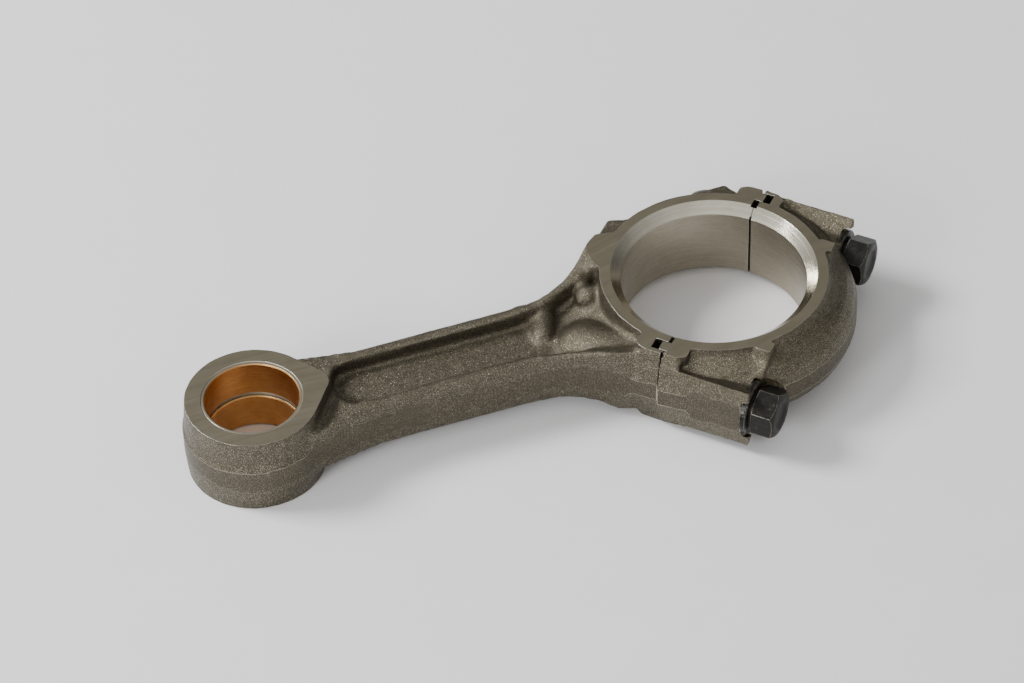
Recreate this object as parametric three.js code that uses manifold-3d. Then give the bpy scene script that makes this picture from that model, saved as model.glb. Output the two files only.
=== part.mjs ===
// Connecting rod for a heavy diesel engine: a forged I-beam shank between a bushed
// small end and a big end split at 45 degrees, whose cap is held by two hexagon bolts.
//
// Millimetres, +Z up. The rod lies flat: +X runs from the small end to the big end, and
// the origin is the centre of the footprint, on the plane of the lower big-end face.
// Every piece is drawn about the crank-pin bore's centre at mid height, then moved there.

import * as THREE from 'three';
import { mergeVertices } from 'three/addons/utils/BufferGeometryUtils.js';
import Module from 'manifold-3d';

const wasm = await Module();
wasm.setup();

// ---------------------------------------------------------------- driving dimensions
const CENTRE_DISTANCE = 228;
const ROUND_STEPS = 72; // facets round the bores and the pieces in them
const SMALL_STEPS = 36; // facets round the bolts and their holes
const FIT_GAP = 0.1; // drawn between two pieces that touch
const LAND = 9.2; // height of the trimmed flash band round the forging
const CURVE_STEPS = 24; // steps on each arc of an outline
const OVER = 5; // how far a cut runs past the piece
const FAR = 200; // past the whole rod
const WELD = 1e-4; // corners closer than this are one corner
const STRAIGHT = 1e-3; // twice the area below which three corners lie in line

const BIG_END = {
  bore: 44, // housing radius, for a crank pin of 83 mm with its shells
  half: 22, // half the width between the thrust faces
  faceRadius: 54,
  bandRadius: 56,
  chamferRadius: 48.9,
  chamferDepth: 4.9,
};

const SMALL_END = {
  half: 20,
  bandRadius: 32.3,
  draft: 1.2,
  bore: 23.6, // seat of the bushes
  tipOffset: 28.3, // the thrust face ends in a rounded tip towards the shank
  tipRadius: 8.4,
  lowerRadius: 33.2, // the lower die's half is larger and leaves a step
  stepHeight: 4,
};

const BUSH = { inner: 21.8, chamfer: 0.5, gap: 2.4, sunk: 0.3 };

const SHANK = {
  halfWidth: 19.6,
  halfHeight: 13,
  draft: 1.1,
  reach: 80, // past both sides
  pocketHalfWidth: 13.4,
  pocketDraft: 2.2,
  pocketFillet: 6,
  webHalf: 4.8,
};

const JOINT = {
  angle: -Math.PI / 4, // bolts lean 45 degrees away from the shank's line
  gap: 0.3,
  padInner: 40,
  padReach: 61,
  padCorner: 2.5,
  padFlare: 2,
  tongueInner: 53.2,
  tongueOuter: 58.8,
  tongueReach: 2.6,
  grooveDepth: 6.4,
  grooveSide: 0.35, // play on each flank of a tongue
  notchInner: 48.2,
  notchDepth: 1.6,
  cornerNotch: 20.4, // the outer notch is only at the faces, above this height
};

// How far each pad runs along the bolts, from the joint.
const PAD_LENGTH = { shankSide: 12.5, tipSide: 9.5, cap: 9.5 };

const BOLT = {
  offset: 55.8, // from the bore's centre to each bolt's axis
  radius: 7,
  holeRadius: 7.7,
  threadGap: 0.1,
  seat: 41.6, // from the joint to the washer's seat
  reach: 34, // from the joint to the bolt's end
  washerRadius: 12.8,
  washer: 3.2,
  washerHole: 7.3,
  washerEdge: 0.5,
  neckRadius: 9.6,
  neck: 1.4,
  acrossFlats: 21,
  head: 11.4,
  headChamfer: 1.6,
  rim: 0.6, // the turned end face stops this far inside the flats
  dishRadius: 7.4,
  dishDepth: 0.8,
  dishWall: 1,
  tipChamfer: 1.2,
  lap: 1, // overlap of shank and head before they are joined
  holeOver: 3, // threaded hole past the bolt's end
  drillCone: 4,
};

const LUG = {
  inner: 40,
  floor: 54,
  floorHeight: 13.5,
  ridge: 64.4,
  ridgeHeight: 17.1,
  side: 66,
  sideHeight: 5.9,
  end: 45.5, // beyond the bolt's seat, which is sunk into it
  endScale: 0.95, // heights shrink to this at the end
  lap: 1, // runs this far past the joint before the split is cut
  spotface: 14.6,
};
const BUTTRESS = { low: 38, high: 45.5 };
const ROOT_BEVEL = { top: 22.6, foot: 5, lean: 4.6 };
const SHOULDER = { half: 11, draft: 1.6 };
const BOSS = {
  shankSide: { radius: 15, root: 20.5, length: 42.5, offset: 53.5 },
  tipSide: { radius: 12.4, root: 12.4, length: 28, offset: 55.8 },
  domeSteps: 8,
};
const CROWN_RADIUS = 68;

// ---------------------------------------------------------------- finishes
const finish = (color, roughness, metalness) =>
  new THREE.MeshStandardMaterial({ color, roughness, metalness });
const forgedSteel = finish(0x5b564c, 0.55, 0.85);
const forgedCapSteel = finish(0x5f5a50, 0.55, 0.85);
const bronze = finish(0xb8743a, 0.32, 0.95);
const blackBolt = finish(0x1c1c1b, 0.42, 0.7);
const blackWasher = finish(0x2b2b29, 0.4, 0.75);

// ---------------------------------------------------------------- solids from geometry
// A closed geometry becomes a solid once its corners are shared.
function solid(geometry) {
  const bare = geometry.clone();
  bare.deleteAttribute('normal');
  bare.deleteAttribute('uv');
  const merged = mergeVertices(bare, WELD);
  return new wasm.Manifold(
    new wasm.Mesh({
      numProp: 3,
      vertProperties: new Float32Array(merged.attributes.position.array),
      triVerts: new Uint32Array(merged.index.array),
    }),
  );
}

function geometryOf(body) {
  const mesh = body.getMesh();
  const geometry = new THREE.BufferGeometry();
  geometry.setAttribute('position', new THREE.BufferAttribute(new Float32Array(mesh.vertProperties), 3));
  geometry.setIndex(new THREE.BufferAttribute(new Uint32Array(mesh.triVerts), 1));
  geometry.computeVertexNormals();
  return geometry;
}

const joined = (...bodies) => bodies.reduce((all, next) => all.add(next));
const without = (body, ...cuts) => cuts.reduce((rest, cut) => rest.subtract(cut), body);

// A closed outline through points, straight from one to the next. A point on the line
// between its neighbours is left out, so that faces and walls share every corner.
function polygon(points) {
  const corners = points.map(([x, y]) => new THREE.Vector2(x, y));
  const bends = corners.filter((corner, index) => {
    const before = corners.at(index - 1);
    const after = corners[(index + 1) % corners.length];
    const turn = corner.clone().sub(before).cross(after.clone().sub(corner));
    return Math.abs(turn) > STRAIGHT;
  });
  return new THREE.Shape(bends);
}

// Points on a smooth curve through the ones given.
function smooth(points, stepsEach = 4) {
  const curve = new THREE.SplineCurve(points.map(([x, y]) => new THREE.Vector2(x, y)));
  return curve.getPoints(stepsEach * (points.length - 1)).map(({ x, y }) => [x, y]);
}

// A forged plate: full size over the flash band, drafted in to both of its faces.
function forged(shape, half, draft, land = LAND) {
  const geometry = new THREE.ExtrudeGeometry(shape, {
    depth: land,
    bevelThickness: half - land / 2,
    bevelSize: draft,
    bevelOffset: -draft,
    bevelSegments: 1,
    curveSegments: CURVE_STEPS,
  });
  geometry.translate(0, 0, -land / 2);
  return geometry;
}

function straight(shape, low, high) {
  const geometry = new THREE.ExtrudeGeometry(shape, {
    depth: high - low,
    bevelEnabled: false,
    curveSegments: CURVE_STEPS,
  });
  geometry.translate(0, 0, low);
  return geometry;
}

// A turned piece about the Z axis, from [radius, height] pairs that start and end on it
// or close on themselves.
function turned(profile, steps) {
  const geometry = new THREE.LatheGeometry(profile.map(([r, z]) => new THREE.Vector2(r, z)), steps);
  return geometry.rotateX(Math.PI / 2);
}

const disc = (radius, low, high, steps) =>
  turned([[0, low], [radius, low], [radius, high], [0, high]], steps);

function box(lowX, highX, lowY, highY, half) {
  const geometry = new THREE.BoxGeometry(highX - lowX, highY - lowY, 2 * half);
  return geometry.translate((lowX + highX) / 2, (lowY + highY) / 2, 0);
}

// ---------------------------------------------------------------- the joint's own axes
// In joint coordinates x runs along the bolts towards their heads, and y along the joint
// face. The shank-side bolt is at y = -offset and the tip-side bolt at y = +offset.
const inJoint = (geometry) => solid(geometry.rotateZ(JOINT.angle));

// Lays an extrusion whose section is drawn in y and z along the bolts.
const ALONG_BOLTS = new THREE.Matrix4().set(0, 0, 1, 0, 1, 0, 0, 0, 0, 1, 0, 0, 0, 0, 0, 1);

function turnedOnBolt(profile, y, steps = SMALL_STEPS) {
  return turned(profile, steps).rotateY(Math.PI / 2).translate(0, y, 0);
}

// ---------------------------------------------------------------- forging blanks
function ringBlank() {
  const { half, faceRadius, bandRadius } = BIG_END;
  return solid(
    turned(
      [
        [0, -half],
        [faceRadius, -half],
        [bandRadius, -LAND / 2],
        [bandRadius, LAND / 2],
        [faceRadius, half],
        [0, half],
      ],
      ROUND_STEPS,
    ),
  );
}

// The thick back of the cap, from bolt to bolt.
function crownBlank() {
  const rib = [
    [54, BIG_END.half],
    [55.4, 18.6],
    [58.4, 16.2],
    [62.8, 14],
    [66.2, 9.8],
    [CROWN_RADIUS, LAND / 2],
  ];
  const lower = rib.map(([r, z]) => [r, -z]);
  return solid(turned([[0, -BIG_END.half], ...lower, ...rib.reverse(), [0, BIG_END.half]], ROUND_STEPS));
}

// Both bolt lugs of the cap, with a groove between each ridge and the ring; they become
// lower towards the end.
function lugBlank(side) {
  const upper = [
    [LUG.inner, LUG.floorHeight],
    [LUG.floor, LUG.floorHeight],
    [LUG.ridge, LUG.ridgeHeight],
    [LUG.side, LUG.sideHeight],
  ];
  const lower = upper.map(([y, z]) => [y, -z]).reverse();
  const section = polygon([...upper, ...lower].map(([y, z]) => [side * y, z]));
  const bar = straight(section, -LUG.lap, LUG.end);
  const { position } = bar.attributes;
  for (let corner = 0; corner < position.count; corner += 1) {
    if (position.getZ(corner) > 0) position.setY(corner, position.getY(corner) * LUG.endScale);
  }
  return inJoint(bar.applyMatrix4(ALONG_BOLTS));
}

// The buttress that closes the groove beside each bolt head and shows on the thrust face.
function buttressBlank(side) {
  const outline = [
    [34, 22],
    [41, 22],
    [45, 19],
    [52, 14.6],
    [63, 14.2],
  ];
  const lower = outline.map(([y, z]) => [y, -z]).reverse();
  const section = polygon([...outline, ...lower].map(([y, z]) => [side * y, z]));
  return inJoint(straight(section, BUTTRESS.low, BUTTRESS.high).applyMatrix4(ALONG_BOLTS));
}

// A machined pad beside the split stands as high as the thrust faces.
function padBlank(side, low, high) {
  const { padInner, padReach, padCorner, padFlare } = JOINT;
  const edge = side * padReach;
  const corner = side * (padReach - padCorner);
  const outline = polygon([
    [low, side * padInner],
    [low - padFlare, corner],
    [low + padFlare, edge],
    [high - padFlare, edge],
    [high + padFlare, corner],
    [high, side * padInner],
  ]);
  return inJoint(straight(outline, -BIG_END.half, BIG_END.half));
}

function eyeOutline(radius) {
  const { bandRadius, tipOffset, tipRadius, draft } = SMALL_END;
  const tip = tipRadius + draft + radius - bandRadius;
  const tangent = Math.acos((radius - tip) / tipOffset);
  const outline = new THREE.Shape();
  outline.absarc(0, 0, radius, tangent, 2 * Math.PI - tangent, false);
  outline.absarc(tipOffset, 0, tip, -tangent, tangent, false);
  return outline;
}

// The eye's upper and lower halves differ by a small step under the flash band's top.
function eyeBlank() {
  const { bandRadius, lowerRadius, stepHeight, half, draft } = SMALL_END;
  const upper = solid(forged(eyeOutline(bandRadius), half, draft));
  const lower = solid(forged(eyeOutline(lowerRadius), half, draft)).trimByPlane([0, 0, -1], -stepHeight);
  return upper.add(lower).translate([-CENTRE_DISTANCE, 0, 0]);
}

// Plan of the shank and its root. The sides run parallel, then flare to the eye and to
// the joint; the two sides differ because the joint is oblique.
function shankOutline() {
  const w = SHANK.halfWidth;
  const nearSide = [
    [-212, -27.5],
    [-200, -24.8],
    [-186, -22],
    [-168, -w],
    [-140, -w],
    [-108, -w],
    [-90, -20.2],
    [-78, -23.2],
    [-68, -28.4],
    [-58.5, -35.8],
    [-46.7, -46],
  ];
  const farSide = [
    [-44, 45],
    [-51, 39],
    [-60, 30.6],
    [-71, 24],
    [-84, 20.4],
    [-104, w],
    [-140, w],
    [-168, w],
    [-186, 22],
    [-200, 24.8],
    [-212, 27.5],
  ];
  return polygon([...smooth(nearSide), [-20, -30], [-20, 40], ...smooth(farSide)]);
}

// The flanges rise towards the big end: seen from the side, half heights along the rod.
function shankBlank() {
  const { halfHeight, draft } = SHANK;
  const top = BIG_END.half;
  const rise = [
    [-216, halfHeight - 0.4],
    [-150, halfHeight - 0.2],
    [-96, halfHeight + 0.4],
    [-80, 14.4],
    [-66, 17],
    [-56, 20],
    [-50, top],
    [-10, top],
  ];
  const lower = rise.map(([x, z]) => [x, -z]).reverse();
  const side = straight(polygon([...rise, ...lower]), -SHANK.reach, SHANK.reach).rotateX(Math.PI / 2);
  return solid(forged(shankOutline(), top, draft)).intersect(solid(side));
}

// Low shoulder behind the ring on the tip side, with its flat facet.
function shoulderBlank() {
  const outline = polygon([
    [-52, 37],
    [-47.5, 46.5],
    [-30.5, 64.5],
    [-22, 61.5],
    [0, 60.5],
    [18, 66],
    [33, 67.5],
    [44, 44],
    [0, 20],
  ]);
  return solid(forged(outline, SHOULDER.half, SHOULDER.draft));
}

// Bosses round the two threaded holes, with a domed end; the long one widens to the joint.
function bossBlank(side) {
  const { radius, root, length, offset } = side < 0 ? BOSS.shankSide : BOSS.tipSide;
  const profile = [[0, 0]];
  profile.push([root, 0]);
  for (let step = 0; step <= BOSS.domeSteps; step += 1) {
    const turn = (step / BOSS.domeSteps) * (Math.PI / 2);
    profile.push([radius * Math.cos(turn), -length - radius * Math.sin(turn)]);
  }
  profile[profile.length - 1][0] = 0;
  return inJoint(turnedOnBolt(profile.reverse(), side * offset));
}

// ---------------------------------------------------------------- cuts
function crankPinCut() {
  const { bore, half, chamferRadius, chamferDepth } = BIG_END;
  const wide = chamferRadius + OVER * ((chamferRadius - bore) / chamferDepth);
  return solid(
    turned(
      [
        [0, -half - OVER],
        [wide, -half - OVER],
        [bore, -half + chamferDepth],
        [bore, half - chamferDepth],
        [wide, half + OVER],
        [0, half + OVER],
      ],
      ROUND_STEPS,
    ),
  );
}

function gudgeonPinCut() {
  const reach = SMALL_END.half + OVER;
  return solid(disc(SMALL_END.bore, -reach, reach, ROUND_STEPS).translate(-CENTRE_DISTANCE, 0, 0));
}

// The long pocket that leaves the shank an I section, on the upper side.
function pocketCut() {
  const w = SHANK.pocketHalfWidth;
  const outline = polygon(
    smooth([
      [-189, -2],
      [-186.4, -9.6],
      [-178, -w],
      [-140, -w],
      [-104, -w],
      [-84, -15.4],
      [-68, -19.6],
      [-58, -24],
      [-48, -20],
      [-42, -6],
      [-41, 12],
      [-43, 24],
      [-49, 29],
      [-58, 25],
      [-70, 18.5],
      [-84, 14.6],
      [-104, w],
      [-140, w],
      [-178, w],
      [-186.4, 9.6],
      [-189, 2],
    ]),
  );
  const { webHalf, pocketDraft, pocketFillet } = SHANK;
  const geometry = new THREE.ExtrudeGeometry(outline, {
    depth: BIG_END.half + OVER - webHalf - pocketFillet,
    bevelThickness: pocketFillet,
    bevelSize: pocketDraft,
    bevelOffset: -pocketDraft,
    bevelSegments: 3,
  });
  return geometry.translate(0, 0, webHalf + pocketFillet);
}

// A mirror turns the faces inside out, so their corners are put back in order.
function mirroredInZ(geometry) {
  const flipped = geometry.clone().scale(1, 1, -1);
  const position = flipped.attributes.position;
  for (let corner = 0; corner < position.count; corner += 3) {
    for (const axis of ['X', 'Y', 'Z']) {
      const kept = position[`get${axis}`](corner);
      position[`set${axis}`](corner, position[`get${axis}`](corner + 1));
      position[`set${axis}`](corner + 1, kept);
    }
  }
  return flipped;
}

const boltHole = (radius, low, high, side) =>
  inJoint(turnedOnBolt([[0, low], [radius, low], [radius, high], [0, high]], side * BOLT.offset));

// A blind threaded hole ends in the drill's cone.
function threadedHole(side) {
  const radius = BOLT.radius + BOLT.threadGap;
  const depth = BOLT.reach + BOLT.holeOver;
  const cone = depth + BOLT.drillCone;
  const profile = [[0, -cone], [radius, -depth], [radius, OVER], [0, OVER]];
  return inJoint(turnedOnBolt(profile, side * BOLT.offset));
}

const jointBox = (lowX, highX, lowY, highY) => inJoint(box(lowX, highX, lowY, highY, BIG_END.half + OVER));

// Everything on the bolt heads' side of the joint, less the rod's own tongue.
function capSide() {
  const tongue = jointBox(-OVER, JOINT.tongueReach, JOINT.tongueInner, JOINT.tongueOuter);
  return jointBox(-JOINT.gap / 2, FAR, -FAR, FAR).subtract(tongue);
}

// A notch through the outer corner of the joint, open only at the two faces.
function cornerNotches(lowX, highX, side) {
  const { tongueOuter, cornerNotch } = JOINT;
  const ends = [side * tongueOuter, side * (tongueOuter + OVER)].sort((a, b) => a - b);
  const kept = inJoint(box(-OVER, OVER, -FAR, FAR, cornerNotch));
  return jointBox(lowX, highX, ...ends).subtract(kept);
}

// Takes the corner off the shank's root beside the joint, down to the flash band.
function rootBevelCut() {
  const { top, foot, lean } = ROOT_BEVEL;
  const outline = polygon([
    [-40, -76],
    [-26, -67.6],
    [-13, -JOINT.padReach],
    [20, -JOINT.padReach],
    [20, -86],
    [-40, -86],
  ]);
  const geometry = new THREE.ExtrudeGeometry(outline, {
    depth: OVER,
    bevelThickness: top - foot,
    bevelSize: lean,
    bevelOffset: -lean,
    bevelSegments: 1,
  });
  return geometry.translate(0, 0, top);
}

// ---------------------------------------------------------------- the pieces
function rodBody() {
  const pockets = [pocketCut(), mirroredInZ(pocketCut())].map(solid);
  const beam = without(joined(shankBlank(), eyeBlank()), ...pockets);
  const { half } = BIG_END;
  const insideShank = solid(straight(shankOutline(), -half, half));
  const blank = joined(
    beam,
    ringBlank(),
    shoulderBlank(),
    padBlank(-1, -PAD_LENGTH.shankSide, OVER),
    padBlank(1, -PAD_LENGTH.tipSide, OVER),
    bossBlank(-1).intersect(insideShank),
    bossBlank(1),
  );
  const { tongueInner, tongueOuter, grooveDepth, grooveSide, notchInner, notchDepth } = JOINT;
  return without(
    blank,
    inJoint(rootBevelCut()),
    inJoint(mirroredInZ(rootBevelCut())),
    capSide(),
    jointBox(-grooveDepth, OVER, -tongueOuter - grooveSide, -tongueInner + grooveSide),
    jointBox(-notchDepth, OVER, notchInner, tongueInner),
    crankPinCut(),
    gudgeonPinCut(),
    threadedHole(-1),
    threadedHole(1),
  );
}

function bearingCap() {
  const { tongueInner, tongueOuter, tongueReach, grooveDepth, grooveSide } = JOINT;
  const { notchInner, notchDepth, gap } = JOINT;
  const blanks = [ringBlank(), crownBlank()];
  for (const side of [-1, 1]) {
    blanks.push(lugBlank(side), buttressBlank(side), padBlank(side, -OVER, PAD_LENGTH.cap));
  }
  const half = jointBox(gap / 2, FAR, -FAR, FAR);
  const tongue = jointBox(-tongueReach, OVER, -tongueOuter, -tongueInner);
  const kept = joined(...blanks).intersect(half.add(tongue));
  const cuts = [
    jointBox(-OVER, grooveDepth, tongueInner - grooveSide, tongueOuter + grooveSide),
    jointBox(-OVER, notchDepth, notchInner, tongueInner),
    jointBox(0, notchDepth, -tongueInner, -notchInner),
    cornerNotches(-OVER, notchDepth, 1),
    cornerNotches(0, notchDepth, -1),
    crankPinCut(),
  ];
  for (const side of [-1, 1]) {
    cuts.push(boltHole(BOLT.holeRadius, -OVER, FAR, side), boltHole(LUG.spotface, BOLT.seat, FAR, side));
  }
  return without(kept, ...cuts);
}

// Two bushes share the eye, with an oil groove left between them at mid height.
function bush(side) {
  const outer = SMALL_END.bore - FIT_GAP;
  const { inner, chamfer, gap, sunk } = BUSH;
  const low = gap / 2;
  const high = SMALL_END.half - sunk;
  const geometry = turned(
    [
      [inner, low + chamfer],
      [inner + chamfer, low],
      [outer - chamfer, low],
      [outer, low + chamfer],
      [outer, high - chamfer],
      [outer - chamfer, high],
      [inner + chamfer, high],
      [inner, high - chamfer],
      [inner, low + chamfer],
    ],
    ROUND_STEPS,
  );
  if (side < 0) geometry.rotateX(Math.PI);
  return solid(geometry.translate(-CENTRE_DISTANCE, 0, 0));
}

function hexagon(y) {
  const corner = BOLT.acrossFlats / Math.sqrt(3);
  const low = BOLT.seat + FIT_GAP + BOLT.washer + BOLT.neck;
  const prism = new THREE.CylinderGeometry(corner, corner, BOLT.head, 6).rotateZ(-Math.PI / 2);
  return inJoint(prism.translate(low + BOLT.head / 2, y, 0));
}

// A cap bolt: hexagon head with turned corners and a dished end, on a plain shank.
function capBolt(side) {
  const y = side * BOLT.offset;
  const under = BOLT.seat + FIT_GAP + BOLT.washer + FIT_GAP;
  const headLow = BOLT.seat + FIT_GAP + BOLT.washer + BOLT.neck;
  const headHigh = headLow + BOLT.head;
  const corner = BOLT.acrossFlats / Math.sqrt(3);
  const { headChamfer, rim, dishRadius, dishDepth, dishWall, tipChamfer, lap } = BOLT;
  const envelope = inJoint(
    turnedOnBolt(
      [
        [0, headLow],
        [corner, headLow],
        [corner, headHigh - headChamfer],
        [BOLT.acrossFlats / 2 - rim, headHigh],
        [0, headHigh],
      ],
      y,
    ),
  );
  const shank = inJoint(
    turnedOnBolt(
      [
        [0, -BOLT.reach],
        [BOLT.radius - tipChamfer, -BOLT.reach],
        [BOLT.radius, -BOLT.reach + tipChamfer],
        [BOLT.radius, under],
        [BOLT.neckRadius, under],
        [BOLT.neckRadius, headLow + lap],
        [0, headLow + lap],
      ],
      y,
    ),
  );
  const dish = inJoint(
    turnedOnBolt(
      [
        [0, headHigh - dishDepth],
        [dishRadius - dishWall, headHigh - dishDepth],
        [dishRadius, headHigh + lap],
        [0, headHigh + lap],
      ],
      y,
    ),
  );
  return hexagon(y).intersect(envelope).add(shank).subtract(dish);
}

function washer(side) {
  const low = BOLT.seat + FIT_GAP;
  const high = low + BOLT.washer;
  const { washerHole: hole, washerEdge: edge } = BOLT;
  return inJoint(
    turnedOnBolt(
      [
        [hole, low],
        [BOLT.washerRadius - edge, low],
        [BOLT.washerRadius, low + edge],
        [BOLT.washerRadius, high - edge],
        [BOLT.washerRadius - edge, high],
        [hole, high],
        [hole, low],
      ],
      side * BOLT.offset,
    ),
  );
}

// ---------------------------------------------------------------- assembly
const group = new THREE.Group();
const assembly = new THREE.Group();
group.add(assembly);

function place(name, body, material) {
  const mesh = new THREE.Mesh(geometryOf(body), material);
  mesh.name = name;
  assembly.add(mesh);
}

place('rod_body', rodBody(), forgedSteel);
place('bearing_cap', bearingCap(), forgedCapSteel);
place('small_end_bush_upper', bush(1), bronze);
place('small_end_bush_lower', bush(-1), bronze);
place('cap_bolt_shank_side', capBolt(-1), blackBolt);
place('cap_bolt_tip_side', capBolt(1), blackBolt);
place('bolt_washer_shank_side', washer(-1), blackWasher);
place('bolt_washer_tip_side', washer(1), blackWasher);

const extent = new THREE.Box3().setFromObject(assembly);
const middle = extent.getCenter(new THREE.Vector3());
assembly.position.set(-middle.x, -middle.y, BIG_END.half);

export default group;
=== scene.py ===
"""Looks of a forged diesel connecting rod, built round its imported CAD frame.

The forgings are made the way a forge and a machine shop make them: drafted blanks are
joined and their corners flow into fillets, then the thrust faces, bores, joint and bolt
seats are machined into them with cutters that carry the ground finish.
"""

import logging
import math
from contextlib import contextmanager
from dataclasses import dataclass, field
from enum import Enum
from typing import Iterator, Sequence

import bmesh
import bpy
from mathutils import Matrix, Vector


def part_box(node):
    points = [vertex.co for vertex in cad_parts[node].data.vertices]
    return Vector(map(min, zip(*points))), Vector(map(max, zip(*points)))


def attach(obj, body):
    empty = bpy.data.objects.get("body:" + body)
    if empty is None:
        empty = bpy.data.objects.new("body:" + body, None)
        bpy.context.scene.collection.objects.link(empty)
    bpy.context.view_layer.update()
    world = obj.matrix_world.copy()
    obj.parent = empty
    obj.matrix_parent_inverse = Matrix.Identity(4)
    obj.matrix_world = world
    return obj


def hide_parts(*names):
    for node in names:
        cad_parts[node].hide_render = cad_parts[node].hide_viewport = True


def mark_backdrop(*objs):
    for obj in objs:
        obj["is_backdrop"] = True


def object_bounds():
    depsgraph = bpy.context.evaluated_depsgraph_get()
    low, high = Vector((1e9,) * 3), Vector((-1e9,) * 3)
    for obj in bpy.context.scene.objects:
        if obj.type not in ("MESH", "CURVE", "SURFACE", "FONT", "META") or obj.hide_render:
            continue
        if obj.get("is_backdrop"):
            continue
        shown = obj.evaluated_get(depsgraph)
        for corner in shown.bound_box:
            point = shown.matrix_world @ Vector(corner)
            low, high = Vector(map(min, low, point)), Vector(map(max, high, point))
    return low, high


MM = 0.001
LOG = logging.getLogger("connecting_rod")

Point = tuple[float, float]
Obj = bpy.types.Object
Mat = bpy.types.Material
Tree = bpy.types.NodeTree
Socket = bpy.types.NodeSocket


class Side(Enum):
    """Which of the two bolts: the one beside the shank, or the one at the rod's tip."""

    SHANK = -1
    TIP = 1

    @property
    def word(self) -> str:
        """The side's word in the names of pieces and bodies."""
        return f"{self.name.lower()}_side"


class Face(Enum):
    """Upper or lower face of the rod as it lies."""

    LOWER = -1
    UPPER = 1


# --------------------------------------------------------------------------- driving sizes
@dataclass(frozen=True)
class RodSizes:
    """Sizes shared by the sub-assemblies, in millimetres, about the crank-pin bore.

    The z values count from the rod's middle plane.
    """

    centre_distance: float = 228.0
    bore: float = 44.0
    half_width: float = 22.0
    face_radius: float = 54.0
    band_radius: float = 56.0
    chamfer_radius: float = 48.9
    chamfer_depth: float = 4.9
    land: float = 9.2
    crown_radius: float = 68.0
    eye_half: float = 20.0
    eye_radius: float = 32.3
    eye_draft: float = 1.2
    eye_bore: float = 23.6
    eye_lower_radius: float = 33.2
    eye_step: float = 4.0
    tip_offset: float = 28.3
    tip_radius: float = 8.4
    shank_half_width: float = 19.6
    shank_half_height: float = 13.0
    pocket_half_width: float = 13.4
    web_half: float = 4.8
    joint_angle: float = -math.pi / 4
    joint_gap: float = 0.3
    pad_reach: float = 61.0
    corner_notch: float = 20.4
    tongue_inner: float = 53.2
    tongue_outer: float = 58.8
    tongue_reach: float = 2.6
    groove_depth: float = 6.4
    groove_side: float = 0.35
    notch_inner: float = 48.2
    notch_depth: float = 1.6
    bolt_offset: float = 55.8
    bolt_radius: float = 7.0
    bolt_hole: float = 7.7
    bolt_seat: float = 41.6
    bolt_reach: float = 34.0
    spotface: float = 14.6
    stock: float = 1.6


SIZES = RodSizes()


# --------------------------------------------------------------------------- bench tools
def deselect() -> None:
    """Leave nothing selected, whatever the mode."""
    if bpy.context.object and bpy.context.object.mode != "OBJECT":
        bpy.ops.object.mode_set(mode="OBJECT")
    bpy.ops.object.select_all(action="DESELECT")


def take(piece: Obj) -> None:
    """Select one object alone and make it active.

    Args:
        piece: The object to work on.
    """
    deselect()
    piece.select_set(True)
    bpy.context.view_layer.objects.active = piece


@contextmanager
def editing(piece: Obj) -> Iterator[bmesh.types.BMesh]:
    """Edit mode on one object, with its edit mesh.

    Args:
        piece: The object to edit.

    Yields:
        The edit mesh, for selecting by place or normal.
    """
    take(piece)
    bpy.ops.object.mode_set(mode="EDIT")
    bpy.ops.mesh.select_mode(type="FACE")
    try:
        yield bmesh.from_edit_mesh(piece.data)
    finally:
        bpy.ops.object.mode_set(mode="OBJECT")


def pick_faces(piece: Obj, mesh: bmesh.types.BMesh, wanted: list[bmesh.types.BMFace]) -> None:
    """Select the given faces and no others.

    Args:
        piece: The object in edit mode.
        mesh: Its edit mesh.
        wanted: The faces to select.
    """
    bpy.ops.mesh.select_all(action="DESELECT")
    for face in wanted:
        face.select_set(True)
    bmesh.update_edit_mesh(piece.data)


def finished(piece: Obj, name: str) -> Obj:
    """Merge doubles, turn the faces outwards and name a piece.

    Args:
        piece: The object to clean.
        name: Its name.

    Returns:
        The same object.
    """
    with editing(piece):
        bpy.ops.mesh.select_all(action="SELECT")
        bpy.ops.mesh.remove_doubles(threshold=0.004 * MM)
        bpy.ops.mesh.normals_make_consistent(inside=False)
    piece.name = name
    piece.data.name = name
    return piece


def smooth_line(points: Sequence[Point], steps: int = 5) -> list[Point]:
    """Points on a smooth curve through the ones given (a Catmull-Rom curve).

    Args:
        points: The points that the curve passes.
        steps: Steps between two of them.

    Returns:
        The curve's points, with both ends.
    """
    ends = [points[0], *points, points[-1]]
    line: list[Point] = []
    for before, start, end, after in zip(ends, ends[1:], ends[2:], ends[3:]):
        for step in range(steps):
            t = step / steps
            line.append(
                tuple(
                    0.5
                    * (
                        2 * b
                        + (c - a) * t
                        + (2 * a - 5 * b + 4 * c - d) * t**2
                        + (3 * b - a - 3 * c + d) * t**3
                    )
                    for a, b, c, d in zip(before, start, end, after)
                )
            )
    line.append(points[-1])
    return line


def arc(radius: float, start: float, end: float, steps: int, centre: Point = (0, 0)) -> list[Point]:
    """Points on an arc.

    Args:
        radius: Its radius.
        start: First angle, in radians.
        end: Last angle.
        steps: Number of steps.
        centre: The arc's centre.

    Returns:
        The points, with both ends.
    """
    angles = (start + (end - start) * step / steps for step in range(steps + 1))
    return [(centre[0] + radius * math.cos(a), centre[1] + radius * math.sin(a)) for a in angles]


def outset(outline: Sequence[Point], distance: float) -> list[Point]:
    """Move an anticlockwise outline outwards.

    Args:
        outline: Its corners, in millimetres.
        distance: How far its sides move.

    Returns:
        The larger outline.
    """
    larger: list[Point] = []
    for index, corner in enumerate(outline):
        before, after = Vector(outline[index - 1]), Vector(outline[(index + 1) % len(outline)])
        here = Vector(corner)
        first, second = (here - before).normalized(), (after - here).normalized()
        normal = Vector((first.y + second.y, -first.x - second.x)).normalized()
        larger.append(tuple(here + normal * distance))
    return larger


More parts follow.
